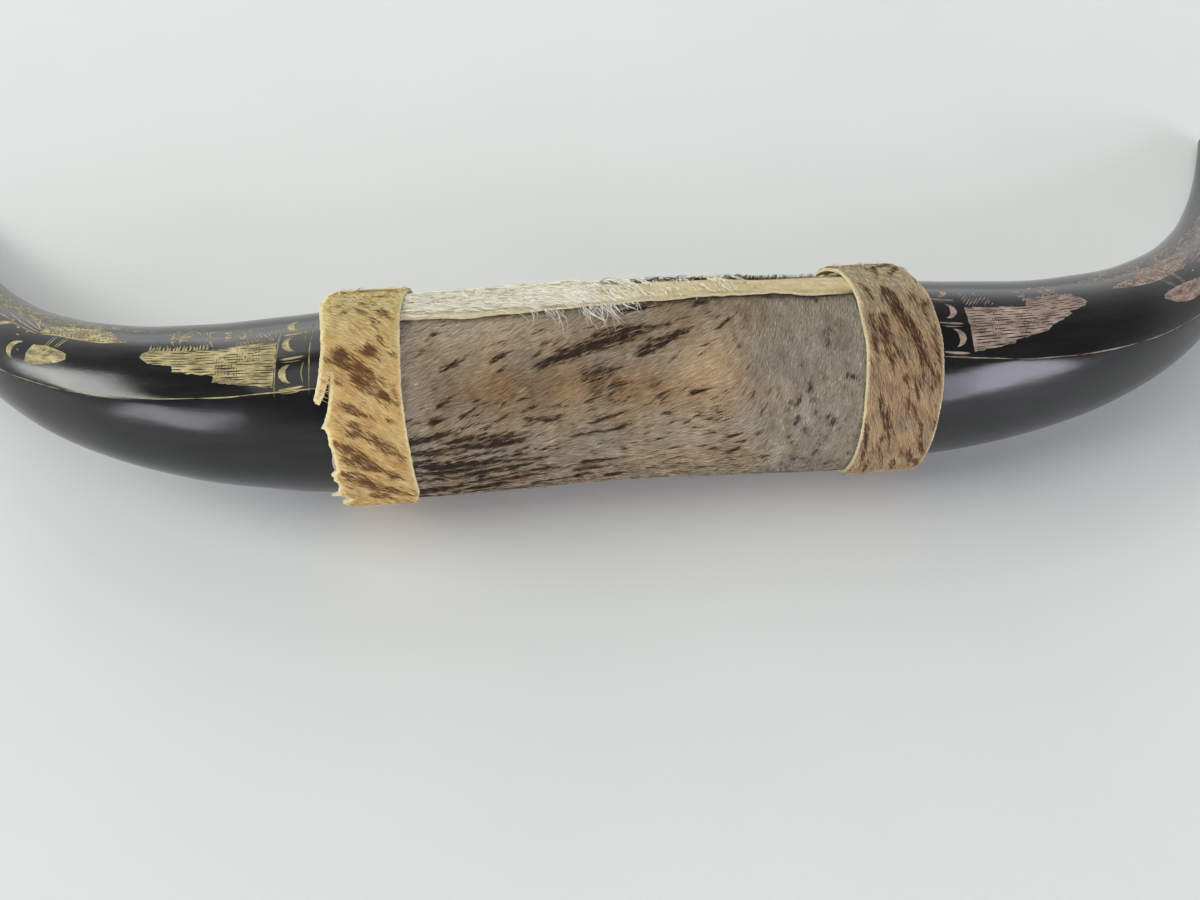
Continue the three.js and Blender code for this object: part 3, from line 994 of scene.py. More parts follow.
def makeSheet(name, outline, gap, place, thickness, paint, skin, replaced):
    # a closed sheet of hide cut to an outline, with the cut edge as its second material
    outline = leftTurning(spaced(outline, 0.8))
    low, high = outline.min(0), outline.max(0)
    u, v = np.meshgrid(np.arange(low[0], high[0], gap), np.arange(low[1], high[1], gap * 0.87))
    u[1::2] += gap / 2
    middle = np.stack([u.ravel(), v.ravel()], 1)
    middle = middle[insideOf(outline, middle[:, 0], middle[:, 1])]
    far = flatDistance(middle, outline)
    middle, far = middle[far > gap * 0.5], far[far > gap * 0.5]
    flat = np.concatenate([outline, middle])
    verts, tris, _ = triangulated(flat, [list(range(len(outline)))], 1, 1e-5)
    away = flatDistance(verts, outline)
    count = len(verts)
    edges = np.concatenate([tris[:, [0, 1]], tris[:, [1, 2]], tris[:, [2, 0]]])
    key = edges[:, 0] * count + edges[:, 1]
    rim = edges[~np.isin(key, edges[:, 1] * count + edges[:, 0])]
    outer = place(verts, thickness * (0.75 + 0.25 * smooth(0, 1.2, away)))
    inner = place(verts, 0 * away)
    a, b = rim[:, 0], rim[:, 1]
    walls = np.concatenate([np.stack([b, a, a + count], 1), np.stack([b, a + count, b + count], 1)])
    faces = np.concatenate([tris, tris[:, ::-1] + count, walls])
    kind = np.concatenate([np.zeros(len(tris)), np.ones(len(tris)), np.ones(len(walls))])
    piece = makePiece(name, np.concatenate([outer, inner]), faces, [skin, cutHide], (replaced,), kind)
    piece.data.set_sharp_from_angle(angle=math.radians(48))
    tone, warmth = paint(verts, away)
    setAttribute(piece, "tone", np.concatenate([tone, tone]))
    setAttribute(piece, "warmth", np.concatenate([warmth, warmth]))
    print(name, "sheet:", len(faces), "faces")
    return piece


ribbon = {
    "lean": 0.5,  # how far ribbons tip to either side
    "rootShare": 0.8,  # width at the root
    "widest": 1.15,
    "taper": 0.75,
    "paler": 0.07,  # from root to tip
}


def makeHair(name, roots, way, length, width, lift, tone, warmth, place, material, seed,
             segments=2, curl=6.0, wave=0.0):
    # flat ribbons that taper to a point, each coloured by its place on the hair chart
    r = np.random.default_rng(seed)
    n = len(roots)
    heading = np.radians(way)
    bend = np.radians(r.normal(0, curl, n))
    phase, swing = r.uniform(0, 6.3, n), np.radians(wave) * r.uniform(0.5, 1.3, n)
    tilt = r.normal(0, ribbon["lean"], n)
    top = lift * r.uniform(0.5, 1.4, n)
    end = top * r.uniform(0.35, 1.2, n)
    at = np.asarray(roots, float)
    rows, charts = [], []
    for k in range(segments + 1):
        share = k / segments
        go = heading + bend * share + swing * np.sin(phase + share * 5)
        across = np.stack([-np.sin(go), np.cos(go)], 1)
        if k == 0:
            height = np.full(n, -0.05)
        else:
            height = top + (end - top) * (share - 1 / segments) / max(1 - 1 / segments, 1e-9)
        half = width / 2 * (ribbon["rootShare"] if k == 0 else ribbon["widest"] - share * ribbon["taper"])
        shade = tone - 0.03 + ribbon["paler"] * share
        if k < segments:
            for sign in (-1, 1):
                rows.append(place(at + across * (sign * half)[:, None], height + sign * half * tilt))
                charts.append(np.stack([shade, warmth + sign * 0.012], 1))
        else:
            rows.append(place(at, height))
            charts.append(np.stack([shade, warmth], 1))
        go = go + bend * 0.5 / segments
        at = at + np.stack([np.cos(go), np.sin(go)], 1) * (length / segments)[:, None]
    size = 2 * segments + 1
    points = np.stack(rows, 1).reshape(-1, 3)
    chart = np.clip(np.stack(charts, 1).reshape(-1, 2), 0.015, 0.985)
    points[:, 2] = np.maximum(points[:, 2], 0.02)  # the table presses the lowest hairs flat
    one = []
    for k in range(segments - 1):
        one += [(2 * k, 2 * k + 2, 2 * k + 1), (2 * k + 1, 2 * k + 2, 2 * k + 3)]
    one.append((size - 3, size - 1, size - 2))
    faces = (np.arange(n)[:, None, None] * size + np.array(one)[None]).reshape(-1, 3)
    piece = makePiece(name, points, faces, [material])
    layer = piece.data.uv_layers.new(name="OFBake")
    layer.uv.foreach_set("vector", chart[faces.ravel()].astype(np.float32).ravel())
    print(name, "hair:", n, "hairs,", len(faces), "faces")
    return piece


def scatter(r, count, low, high, chance):
    # about count places between two corners, kept as often as chance says
    kept, total = [], 0
    while total < count:
        p = r.uniform(low, high, (count, 2))
        p = p[r.random(count) < chance(p)]
        kept.append(p)
        total += len(p)
    return np.concatenate(kept)[:count]


def streakDarkness(flat, streaks, ragged=0.0):
    # how far each place lies in a streak of dark hair, from 0 to 1
    x, s = flat[:, 0], flat[:, 1]
    if ragged:
        x = x + ripple(flat[:, 0], flat[:, 1], 71, 3.0) * ragged
        s = s + ripple(flat[:, 0], flat[:, 1], 72, 2.6) * ragged
    dark = np.zeros(len(flat))
    for cx, cs, length, width, slant, depth in streaks:
        near = np.flatnonzero((np.abs(x - cx) < length) & (np.abs(s - cs) < length))
        if not len(near):
            continue
        a = math.radians(slant)
        dx, ds = x[near] - cx, s[near] - cs
        t = (dx * math.cos(a) + ds * math.sin(a)) / length
        q = np.abs(-dx * math.sin(a) + ds * math.cos(a)) / (width / 2)
        body = smooth(-0.56, -0.42, t) * (1 - 0.8 * smooth(-0.1, 0.55, t))
        value = depth * (1 - smooth(0.4, 1.25, q / np.maximum(body, 0.05))) * (body > 0.02) * (t < 0.62)
        dark[near] = np.maximum(dark[near], value)
    return dark


def locks(flat, way, seed):
    # hair gathers in locks, which are long along it and narrow across it
    a = math.radians(way)
    along = flat[:, 0] * math.cos(a) + flat[:, 1] * math.sin(a)
    across = flat[:, 1] * math.cos(a) - flat[:, 0] * math.sin(a)
    return ripple(along * 0.15, across, seed, 1.25) + 0.6 * ripple(along * 0.2, across, seed + 1, 0.6)


def patches(flat, spots, unit):
    # soft patches added up; each is (mm along, angle, half width, half height, strength)
    total = 0
    for x, angle, wide, tall, strength in spots:
        far = ((flat[:, 0] - x) / wide) ** 2 + ((flat[:, 1] - angle * mmPerDegree) / (tall * unit)) ** 2
        total = total + np.exp(-far) * strength
    return total


def headed(way):
    return np.stack([np.cos(np.radians(way)), np.sin(np.radians(way))], 1)


# The spotted sheet

wrapSheet = {
    "half": 116.5,
    "seamAngle": 112,
    "opening": 1.4,
    "thickness": 1.6,
    "gap": 2.0,  # between the mesh's points
    "hairyHalf": 91,
    "frontHairs": {"from": -38, "to": 98, "hairs": 64000, "seed": 101},
    "backHairs": {"from": -244, "to": -38, "hairs": 60000, "seed": 102},
    "hairLength": 4.6,
    "hairWidth": 0.2,
    "lift": 0.34,
    "flow": 12,  # which way the hair lies, in degrees
    "turnedFlow": 74,  # and where it turns up, towards the right end
    "flowSpread": 7,
    "unevenTone": 0.06,
    "unevenWarmth": 0.08,
    "pale": 0.05,  # share of the hairs that are paler
    "stray": 0.012,  # share of the hairs that stand up
    "strayLift": 2.6,
    "tuftLift": 0.95,  # added where dark tufts stand up behind the strip
    "tuftLength": 0.9,
    "tone": 0.53,
    "warmth": 0.36,
    "edgeTone": 0.85,  # of the bare edge
}
# How much paler and warmer the hair is in soft patches, whose heights are in degrees.
wrapPatches = {
    "orange": {"paler": -0.08, "warmer": 0.5, "at": [
        (-37, 51, 42, 12, 1), (-60, 54, 16, 9, 0.5), (-3, 47, 14, 9, 0.6),
    ]},
    "light": {"paler": 0.18, "warmer": 0.62, "at": [(25, 58, 13, 19, 1)]},
    "pink": {"paler": 0.08, "warmer": 0.2, "at": [(22, 10, 30, 26, 1)]},
    "olive": {"paler": 0.2, "warmer": 0.12, "at": [(-62, 88, 34, 16, 1)]},
}
# Scuffs, whose heights are in mm.
scuffs = [(-35, 14.6, 0.6, 7, 1), (55.6, -0.5, 2.2, 10, 0.8), (65, 28, 2.5, 5, 0.6), (77.5, 28, 0.7, 6, 0.7)]
# Small streaks at random: (how many, from angle, to angle, lengths, widths).
smallStreaks = [
    (130, -35, 98, (2.0, 5.0), (0.5, 1.2)),
    (330, -35, 46, (2.5, 7.0), (0.5, 1.5)),
    (190, -246, -35, (3, 17), (0.8, 3.4)),
]
cornerStreaks = 75  # more of them in the crowded lower left corner
# Dark streaks in the hair, as (across, down, length, width, slant, darkness). They were laid out on
# the sheet in eighths of a mm from its upper left corner.
wrapStreaks = [
    (740, 300, 130, 20, 8, .9), (935, 285, 60, 22, 15, .9), (1310, 280, 30, 10, 90, .7),
    (115, 335, 40, 14, 10, .6), (270, 350, 50, 8, 5, .5), (335, 347, 35, 10, 12, .7),
    (65, 405, 45, 12, 30, .6), (160, 450, 95, 20, 27, .85), (290, 395, 75, 9, 20, .5),
    (320, 397, 30, 10, 10, .6), (300, 440, 80, 16, 24, .85), (430, 360, 60, 8, 25, .5),
    (445, 405, 40, 14, 20, .7), (415, 440, 35, 18, 40, .75), (480, 460, 160, 26, 17, .95),
    (560, 450, 60, 14, 10, .8), (640, 415, 160, 30, 15, .95), (700, 380, 100, 20, 15, .85),
    (770, 445, 120, 26, 20, .95), (740, 465, 60, 20, 15, .85), (980, 345, 30, 12, 45, .7),
    (1005, 365, 90, 12, 37, .85), (940, 440, 60, 10, 30, .6), (1085, 318, 30, 8, 45, .4),
    (1060, 383, 25, 12, 60, .5), (1025, 430, 70, 10, 110, .5), (1320, 430, 60, 14, 80, .6),
    (130, 565, 75, 16, 35, .85), (100, 625, 60, 24, 15, .95), (120, 665, 210, 12, 10, .85),
    (110, 672, 190, 14, 14, .9), (180, 690, 110, 22, 10, .8), (270, 690, 120, 18, 8, .85),
    (420, 650, 120, 18, -8, .8), (380, 610, 60, 10, 20, .6), (620, 660, 130, 14, 15, .8),
    (571, 600, 60, 10, 20, .4), (560, 710, 110, 14, 5, .75), (650, 700, 80, 14, 15, .7),
    (790, 615, 40, 16, 45, .6), (905, 590, 70, 18, 12, .85), (780, 560, 70, 10, 25, .6),
    (830, 480, 50, 10, 45, .6), (880, 680, 60, 10, 35, .6), (990, 635, 40, 8, 40, .5),
    (70, 735, 120, 24, -5, .95), (200, 757, 140, 12, 3, .8), (170, 790, 250, 40, 0, 1.0),
    (150, 815, 200, 24, 3, .95), (230, 835, 150, 24, 10, .9), (320, 825, 120, 26, 12, .9),
    (110, 850, 140, 14, 5, .8), (330, 880, 120, 24, 8, .9), (345, 770, 60, 12, -5, .8),
    (100, 915, 130, 30, 5, .95), (230, 935, 160, 26, 8, .95), (590, 830, 130, 24, 5, .8),
    (560, 870, 110, 26, 5, .85), (540, 915, 80, 24, 15, .9), (640, 930, 80, 40, 20, .8),
    (465, 855, 50, 14, 5, .6), (610, 745, 50, 8, 20, .5), (735, 725, 25, 10, 10, .5),
    (830, 790, 60, 10, 10, .6), (1020, 745, 50, 14, 20, .7), (1040, 775, 40, 16, 10, .7),
    (970, 800, 30, 14, 10, .6), (1010, 815, 60, 20, 30, .85), (1110, 650, 50, 8, 60, .6),
    (1220, 625, 50, 14, 55, .7), (1215, 690, 60, 16, 80, .7), (1190, 640, 40, 10, 70, .6),
    (1335, 705, 40, 20, 40, .7), (1240, 740, 70, 10, 110, .6), (1255, 575, 50, 14, 75, .7),
    (1300, 545, 50, 10, 80, .5), (1390, 560, 50, 18, -20, .8), (1290, 830, 60, 16, 75, .7),
    (1225, 880, 60, 12, 70, .6), (1215, 930, 40, 10, 80, .6), (1345, 900, 60, 12, 80, .5),
    (930, 910, 120, 20, 5, .6), (870, 950, 40, 30, 10, .5), (1000, 890, 60, 12, 10, .4),
    (560, 432, 200, 60, 14, .62), (700, 398, 220, 60, 14, .66), (795, 430, 150, 50, 20, .7),
    (640, 380, 120, 30, 12, .6), (850, 400, 80, 24, 22, .7), (600, 520, 120, 60, 12, .5),
    (660, 560, 70, 40, 10, .45), (160, 118, 130, 30, 8, .9), (440, 112, 130, 34, 10, .9),
    (800, 112, 230, 40, 10, .95), (1104, 108, 400, 50, 6, 1.0),
]


def wrapFlow(flat):
    x, angle = flat[:, 0], (flat[:, 1] / mmPerDegree + 230) % 360 - 230
    main = wrapSheet["flow"] + 12 * smooth(-10, 60, angle) + 5 * ripple(x, flat[:, 1], 21, 45)
    turned = smooth(20, 56, x - 10 * (1 - smooth(-10, 60, angle)))
    return main + (wrapSheet["turnedFlow"] - main) * turned + 4 * ripple(x, flat[:, 1], 22, 14)


def makeWrapStreaks():
    r = np.random.default_rng(5)
    k = mmPerDegree
    made = []
    for across, down, length, width, slant, depth in wrapStreaks:
        angle = (144 - down / 5.87 + 248) % 360 - 248
        made.append((-90 + across / 8, angle * k, length / 8, width / 8, slant, depth))
    for count, low, high, size, wide in smallStreaks:
        x = r.uniform(-88, 88, count)
        s = r.uniform(low, high, count) * k
        flow = wrapFlow(np.stack([x, s], 1))
        long = r.uniform(*size, count) * (1 - 0.55 * smooth(30, 60, x))
        thick = r.uniform(*wide, count) * (1 - 0.4 * smooth(30, 60, x))
        deep = r.uniform(0.35, 0.85, count)
        made += list(zip(x, s, long, thick, flow + r.normal(0, 6, count), deep))
    n = cornerStreaks
    x, s = r.uniform(-90, -34, n), r.uniform(-36, 30, n) * k
    long, thick = r.uniform(6, 20, n), r.uniform(1.0, 2.8, n)
    slant = 7 + r.normal(0, 5, n)
    made += list(zip(x, s, long, thick, slant, r.uniform(0.6, 1.0, n)))
    return made


spots = makeWrapStreaks()


stripSheet = {
    "half": 110,
    "upper": 117.6,
    "thickness": 1.5,
    "gap": 1.1,  # between the mesh's points
    "lift": 0.8,  # of its lower edge
    "tone": 0.64,
    "warmth": 0.6,
}
# (mm along, angle) of the strip's lower edge
stripEdge = [
    (-110, 98), (-88, 98), (-80, 97.4), (-65, 94.8), (-48, 95.4), (-27, 95.6), (0, 96.6), (17, 98),
    (38, 100.2), (57, 101.6), (66, 100.4), (73, 99.6), (82, 100.6), (89, 101.4), (110, 101),
]


def between(x, table):
    return np.interp(x, *zip(*table))


def lowerStrip(x):
    return between(x, stripEdge) * mmPerDegree


def wrapPaint(flat):
    x, s = flat[:, 0], flat[:, 1]
    angle = (s / mmPerDegree + 230) % 360 - 230
    tone, warmth = wrapSheet["tone"], wrapSheet["warmth"]
    for patch in wrapPatches.values():
        there = patches(flat, patch["at"], mmPerDegree)
        tone, warmth = tone + patch["paler"] * there, warmth + patch["warmer"] * there
    blue = smooth(38, 62, x) * (1 - smooth(96, 110, angle)) * smooth(-40, -5, angle)
    tone = tone - 0.02 * blue + 0.22 * np.clip(patches(flat, scuffs, 1), 0, 1)
    tone = tone + 0.045 * ripple(x, s, 31, 22) + 0.05 * ripple(x, s, 32, 6) + 0.03 * ripple(x, s, 36, 2.6)
    behind = smooth(-40, -70, angle)
    warmth = warmth - 0.3 * blue + 0.16 * ripple(x, s, 33, 24) + 0.15 * behind * (1 + ripple(x, s, 34, 40))
    # painted shade: a dark band on the wrap hair along the strip's lower edge stands in for the shadow that
    # the strip casts
    below = lowerStrip(x) - angle * mmPerDegree  # painted shade: the hair is darkened just under the strip's edge, as the strip's shadow
    tone = tone - 0.17 * smooth(3.0, 0.5, below) * smooth(-2, 0, below)
    band = smooth(-80, -86, x) + smooth(83, 88, x)
    return tone + 0.02 * band, np.clip(warmth * (1 - 0.4 * band), 0.02, 1)


def wrapSkinPaint(flat, away):
    tone, warmth = wrapPaint(flat)
    dark = streakDarkness(flat, spots, 0.5)
    bare = 1 - smooth(0, 1.5, away)
    tone = (tone - 0.07) * (1 - dark * 0.85)
    tone = tone + (wrapSheet["edgeTone"] - tone) * bare
    return np.clip(tone, 0, 1), np.clip(warmth + 0.3 * bare, 0, 1)


def onWrap(flat, height):
    x, angle = flat[:, 0], flat[:, 1] / mmPerDegree
    swell = 0.1 * ripple(x, flat[:, 1], 61, 26)
    radius = core["wrapOuter"] - wrapSheet["thickness"] + height
    return roundCore(x, angle, radius + swell * smooth(0, 0.8, height))


def wrapOutline():
    k, half = mmPerDegree, wrapSheet["half"]
    top = (wrapSheet["seamAngle"] - wrapSheet["opening"] / 2) * k
    bottom = (wrapSheet["seamAngle"] - 360 + wrapSheet["opening"] / 2) * k
    s = np.linspace(bottom, top, 90)
    right = half + 0.7 * ripple(s, 0 * s, 51, 30)
    left = -half - 0.7 * ripple(s, 0 * s, 52, 30) - 1.6 * np.exp(-((s / k - 17) / 9) ** 2)
    return np.concatenate([np.stack([right, s], 1), np.stack([left, s], 1)[::-1]])


def wrapHairs(name, part):
    k, count, seed = mmPerDegree, part["hairs"], part["seed"]
    r = np.random.default_rng(seed)

    def chance(p):
        return 1 - 0.45 * smooth(40, 60, p[:, 0]) * (p[:, 1] > wrapSheet["frontHairs"]["from"] * k)

    half = wrapSheet["hairyHalf"]
    roots = scatter(r, count, (-half, part["from"] * k), (half, part["to"] * k), chance)
    flow = wrapFlow(roots) + r.normal(0, wrapSheet["flowSpread"], count)
    short = 1 - 0.5 * smooth(34, 58, roots[:, 0]) - 0.3 * smooth(-78, -88, roots[:, 0])
    length = wrapSheet["hairLength"] * short * r.uniform(0.6, 1.2, count)
    middle = roots + headed(flow) * (length * 0.3)[:, None]
    tone, warmth = wrapPaint(middle)
    dark = streakDarkness(middle, spots, 0.5)
    fringe = np.clip(dark * (1 - dark) * 4, 0, 1)
    turned = smooth(30, 52, middle[:, 0])
    lock = locks(middle, 18, 37) * (1 - turned) + locks(middle, wrapSheet["turnedFlow"], 39) * turned
    dark = smooth(0.22, 0.76, dark + (0.5 * lock + r.normal(0, 0.17, count)) * (dark > 0.02))
    uneven = r.normal(0, wrapSheet["unevenTone"], count)
    pale = r.random(count) < wrapSheet["pale"]
    tone = (tone + 0.04 * lock + uneven + 0.12 * pale) * (1 - 0.92 * dark)
    warmth = warmth + 0.25 * fringe + r.normal(0, wrapSheet["unevenWarmth"], count)
    stray = r.random(count) < wrapSheet["stray"]
    ruffled = (roots[:, 1] > 110 * k) | (roots[:, 1] < -220 * k)
    lift = wrapSheet["lift"] * (0.45 + 0.55 * short) * np.where(stray, wrapSheet["strayLift"], 1)
    lift = lift + wrapSheet["tuftLift"] * ruffled * dark
    length = length * (1 + wrapSheet["tuftLength"] * ruffled * dark)
    width = wrapSheet["hairWidth"] * r.uniform(0.7, 1.25, count)

    def place(f, h):
        return onWrap(f, wrapSheet["thickness"] + h)

    return makeHair(name, roots, flow, length, width, lift, tone, warmth, place, spottedHair,
                    seed + 50)


wrapSkin = makeSheet("spottedSheet", wrapOutline(), wrapSheet["gap"], onWrap, wrapSheet["thickness"],
                     wrapSkinPaint, spottedSkin, "hide_wrap")
wrapHair = [
    wrapHairs("spottedHairFront", wrapSheet["frontHairs"]),
    wrapHairs("spottedHairBack", wrapSheet["backHairs"]),
]

# The strip over the seam

def onStrip(flat, height):
    x, s = flat[:, 0], flat[:, 1]
    free = smooth(88, 70, np.abs(x))
    buckle = np.maximum(0.35 * ripple(x, s * 0.4, 81, 34) * free, 0) * smooth(0, 0.5, height)
    edge = smooth(3.2, 0, s - lowerStrip(x))
    lifted = stripSheet["lift"] * free * edge * (1 + 0.6 * ripple(x, 0 * x, 95, 18))
    return roundCore(x, s / mmPerDegree, core["stripInner"] + height + buckle + lifted)


def stripPaint(flat, away):
    x, s = flat[:, 0], flat[:, 1]
    near = smooth(3.4, 0.6, s - lowerStrip(x))
    yellow = smooth(-20, 40, x)
    tone = stripSheet["tone"] - 0.12 * yellow - 0.1 * near
    tone = tone + 0.07 * ripple(x, s, 82, 9) + 0.04 * ripple(x, s, 96, 3)
    warmth = stripSheet["warmth"] + 0.4 * yellow + 0.12 * ripple(x, s, 83, 14)
    return np.clip(tone, 0, 1), np.clip(warmth, 0, 1)


def stripOutline():
    x = np.linspace(-stripSheet["half"], stripSheet["half"], 200)
    lower = lowerStrip(x) + 0.22 * ripple(x, 0 * x, 84, 5) + 0.1 * ripple(x, 0 * x, 85, 1.6)
    upper = (stripSheet["upper"] + 1.2 * ripple(x, 0 * x, 86, 26)) * mmPerDegree
    return np.concatenate([np.stack([x, lower], 1), np.stack([x, upper], 1)[::-1]])


# How the strip's fur changes along it, as (mm along, value).
fur = {
    "hairs": 12500,
    "lay": [
        (-90, -6), (-60, -10), (-40, -16), (-24, -30), (-8, -58), (10, -70), (45, -62), (60, -30), (90, 0),
    ],
    "length": [(-90, 8), (-30, 8), (-10, 6), (0, 4.2), (45, 3.8), (56, 1.8), (90, 1.6)],
    "lift": [(-90, 0.75), (-30, 0.75), (0, 0.6), (50, 0.35), (90, 0.3)],
    "width": (0.16, 0.3),
    "tone": 0.9,
    "warmth": 0.45,
}


def furThickness(p):
    x, s = p[:, 0], p[:, 1]
    thick = smooth(52, 34, x) * 0.94 + 0.06
    wisp = ripple(x + s * 0.5, s * 0.2, 87, 8) * 1.5 - 0.35
    patch = 0.04 + 0.96 * np.clip(np.clip(wisp, 0, 0.5) + smooth(-10, -26, x), 0, 1)
    above = s - lowerStrip(x)
    ragged = 1.6 * smooth(-46, -36, x) + 0.8 * ripple(x, 0 * x, 94, 8)
    edge = smooth(3.2, 4.8, above + ragged)
    return thick * patch * (edge * 0.98 + 0.02) * (above > 0.3) * (np.abs(x) < 90)


def makeFur(r):
    # white fur that thins out to the right, of which only a few hairs reach over the lower edge
    k, count = mmPerDegree, fur["hairs"]
    roots = scatter(r, count, (-90, 95 * k), (90, 125 * k), furThickness)
    x, s = roots[:, 0], roots[:, 1]
    astray = 14 * ripple(x, s, 88, 16) + r.normal(0, 10, count)
    lay = between(x, fur["lay"]) + astray * (0.45 + 0.55 * smooth(-50, -30, x))
    length = between(x, fur["length"]) * r.uniform(0.6, 1.25, count)
    hang = 0.5 + 2.4 * np.clip(ripple(x, s, 97, 5), 0, 1) + 6 * smooth(-38, -52, x)
    room = (s - lowerStrip(x)) / np.sin(np.radians(np.clip(-lay, 12, 90)))
    length = np.minimum(length, room + hang)
    tone = fur["tone"] + 0.1 * ripple(x, s, 89, 6) + r.normal(0, 0.06, count) - 0.08 * smooth(10, 50, x)
    warmth = fur["warmth"] + 0.2 * smooth(-10, 30, x) + r.normal(0, 0.1, count)
    warmth = warmth + 0.15 * ripple(x, s, 90, 12)
    width = r.uniform(*fur["width"], count)
    lift = between(x, fur["lift"])

    def place(f, h):
        return onStrip(f, stripSheet["thickness"] + h)

    return makeHair("seamFur", roots, lay, length, width, lift, tone, warmth, place, whiteHair,
                    202, segments=3, curl=12, wave=14)


# Long hairs that hang over the strip's lower edge, with the places of their tufts and each one's share.
looseHairs = {
    "hairs": 105,
    "tufts": [-45, -38, -33, -29, -20, -17, -11, -8, -3, 2, 8, 17, 26, 37],
    "shares": [.03, .04, .14, .05, .17, .1, .14, .12, .05, .05, .04, .03, .02, .02],
    "lay": -64,
    "length": (5, 15),
    "longer": [(-80, 0.5), (-50, 0.6), (-33, 0.95), (-20, 1.05), (-8, 1.15), (0, 0.6), (20, 0.4)],
    "width": (0.12, 0.24),
    "lift": 0.5,
    "over": 0.9,  # how far above the sheet below they hang
    "tone": 0.9,
    "warmth": 0.22,
}


def makeLooseHairs(r):
    facts = looseHairs
    count = facts["hairs"]
    tuft = r.choice(facts["tufts"], count, p=facts["shares"])
    x = tuft + r.normal(0, 0.9, count)
    roots = np.stack([x, lowerStrip(x) + r.uniform(0.5, 5, count)], 1)
    lay = facts["lay"] + 14 * ripple(x, 0 * x, 91, 14) + r.normal(0, 9, count)
    length = r.uniform(*facts["length"], count) * between(x, facts["longer"])
    tone = facts["tone"] + r.normal(0, 0.05, count)
    warmth = facts["warmth"] + r.normal(0, 0.08, count)

    def hanging(f, h):
        onTop = f[:, 1] > lowerStrip(f[:, 0])
        high, low = core["stripInner"] + stripSheet["thickness"], core["wrapOuter"] + facts["over"]
        return roundCore(f[:, 0], f[:, 1] / mmPerDegree, np.where(onTop, high, low) + h)

    width, lift = r.uniform(*facts["width"], count), np.full(count, facts["lift"])
    return makeHair("looseHairs", roots, lay, length, width, lift, tone, warmth, hanging, whiteHair,
                    203, segments=5, curl=22, wave=16)


stripSkin = makeSheet("seamStrip", stripOutline(), stripSheet["gap"], onStrip, stripSheet["thickness"],
                      stripPaint, rawhide, "seam_strip")
stripRandom = np.random.default_rng(201)
stripHair = [makeFur(stripRandom), makeLooseHairs(stripRandom)]

# The straps. Their streaks are (down, across, length, width, slant, darkness): down runs from 144
# degrees to the underside in ninths of a degree, and across in twelfths of a mm.
strap = {
    "thickness": 1.4,
    "inner": 41.0,
    "start": 130,
    "overStrip": 456,
    "ramp": 18,
    "raise": 1.8,
    "gap": 1.1,  # between the mesh's points
    "hairs": 27000,
    "spare": 1.15,  # more roots than hairs, as those near the edge are dropped
    "hairLength": 4.6,
    "hairWidth": 0.21,
    "lift": 0.42,
    "stray": 0.03,
    "strayLift": 2.8,
    "edgeTone": 0.86,
    "edgeWarmth": 0.45,
    "flowSpread": 8,
    "unevenTone": 0.06,
    "unevenWarmth": 0.1,
    "backShare": 0.62,  # of the hairs that are kept where the viewer can't see
    "smallStreaks": 120,
    "behind": {"share": 0.55, "angles": (132, 330), "length": (3, 13), "width": (0.8, 3.6)},
    "inFront": {"angles": (330, 512), "length": (1.5, 4), "width": (0.4, 1.0)},
}
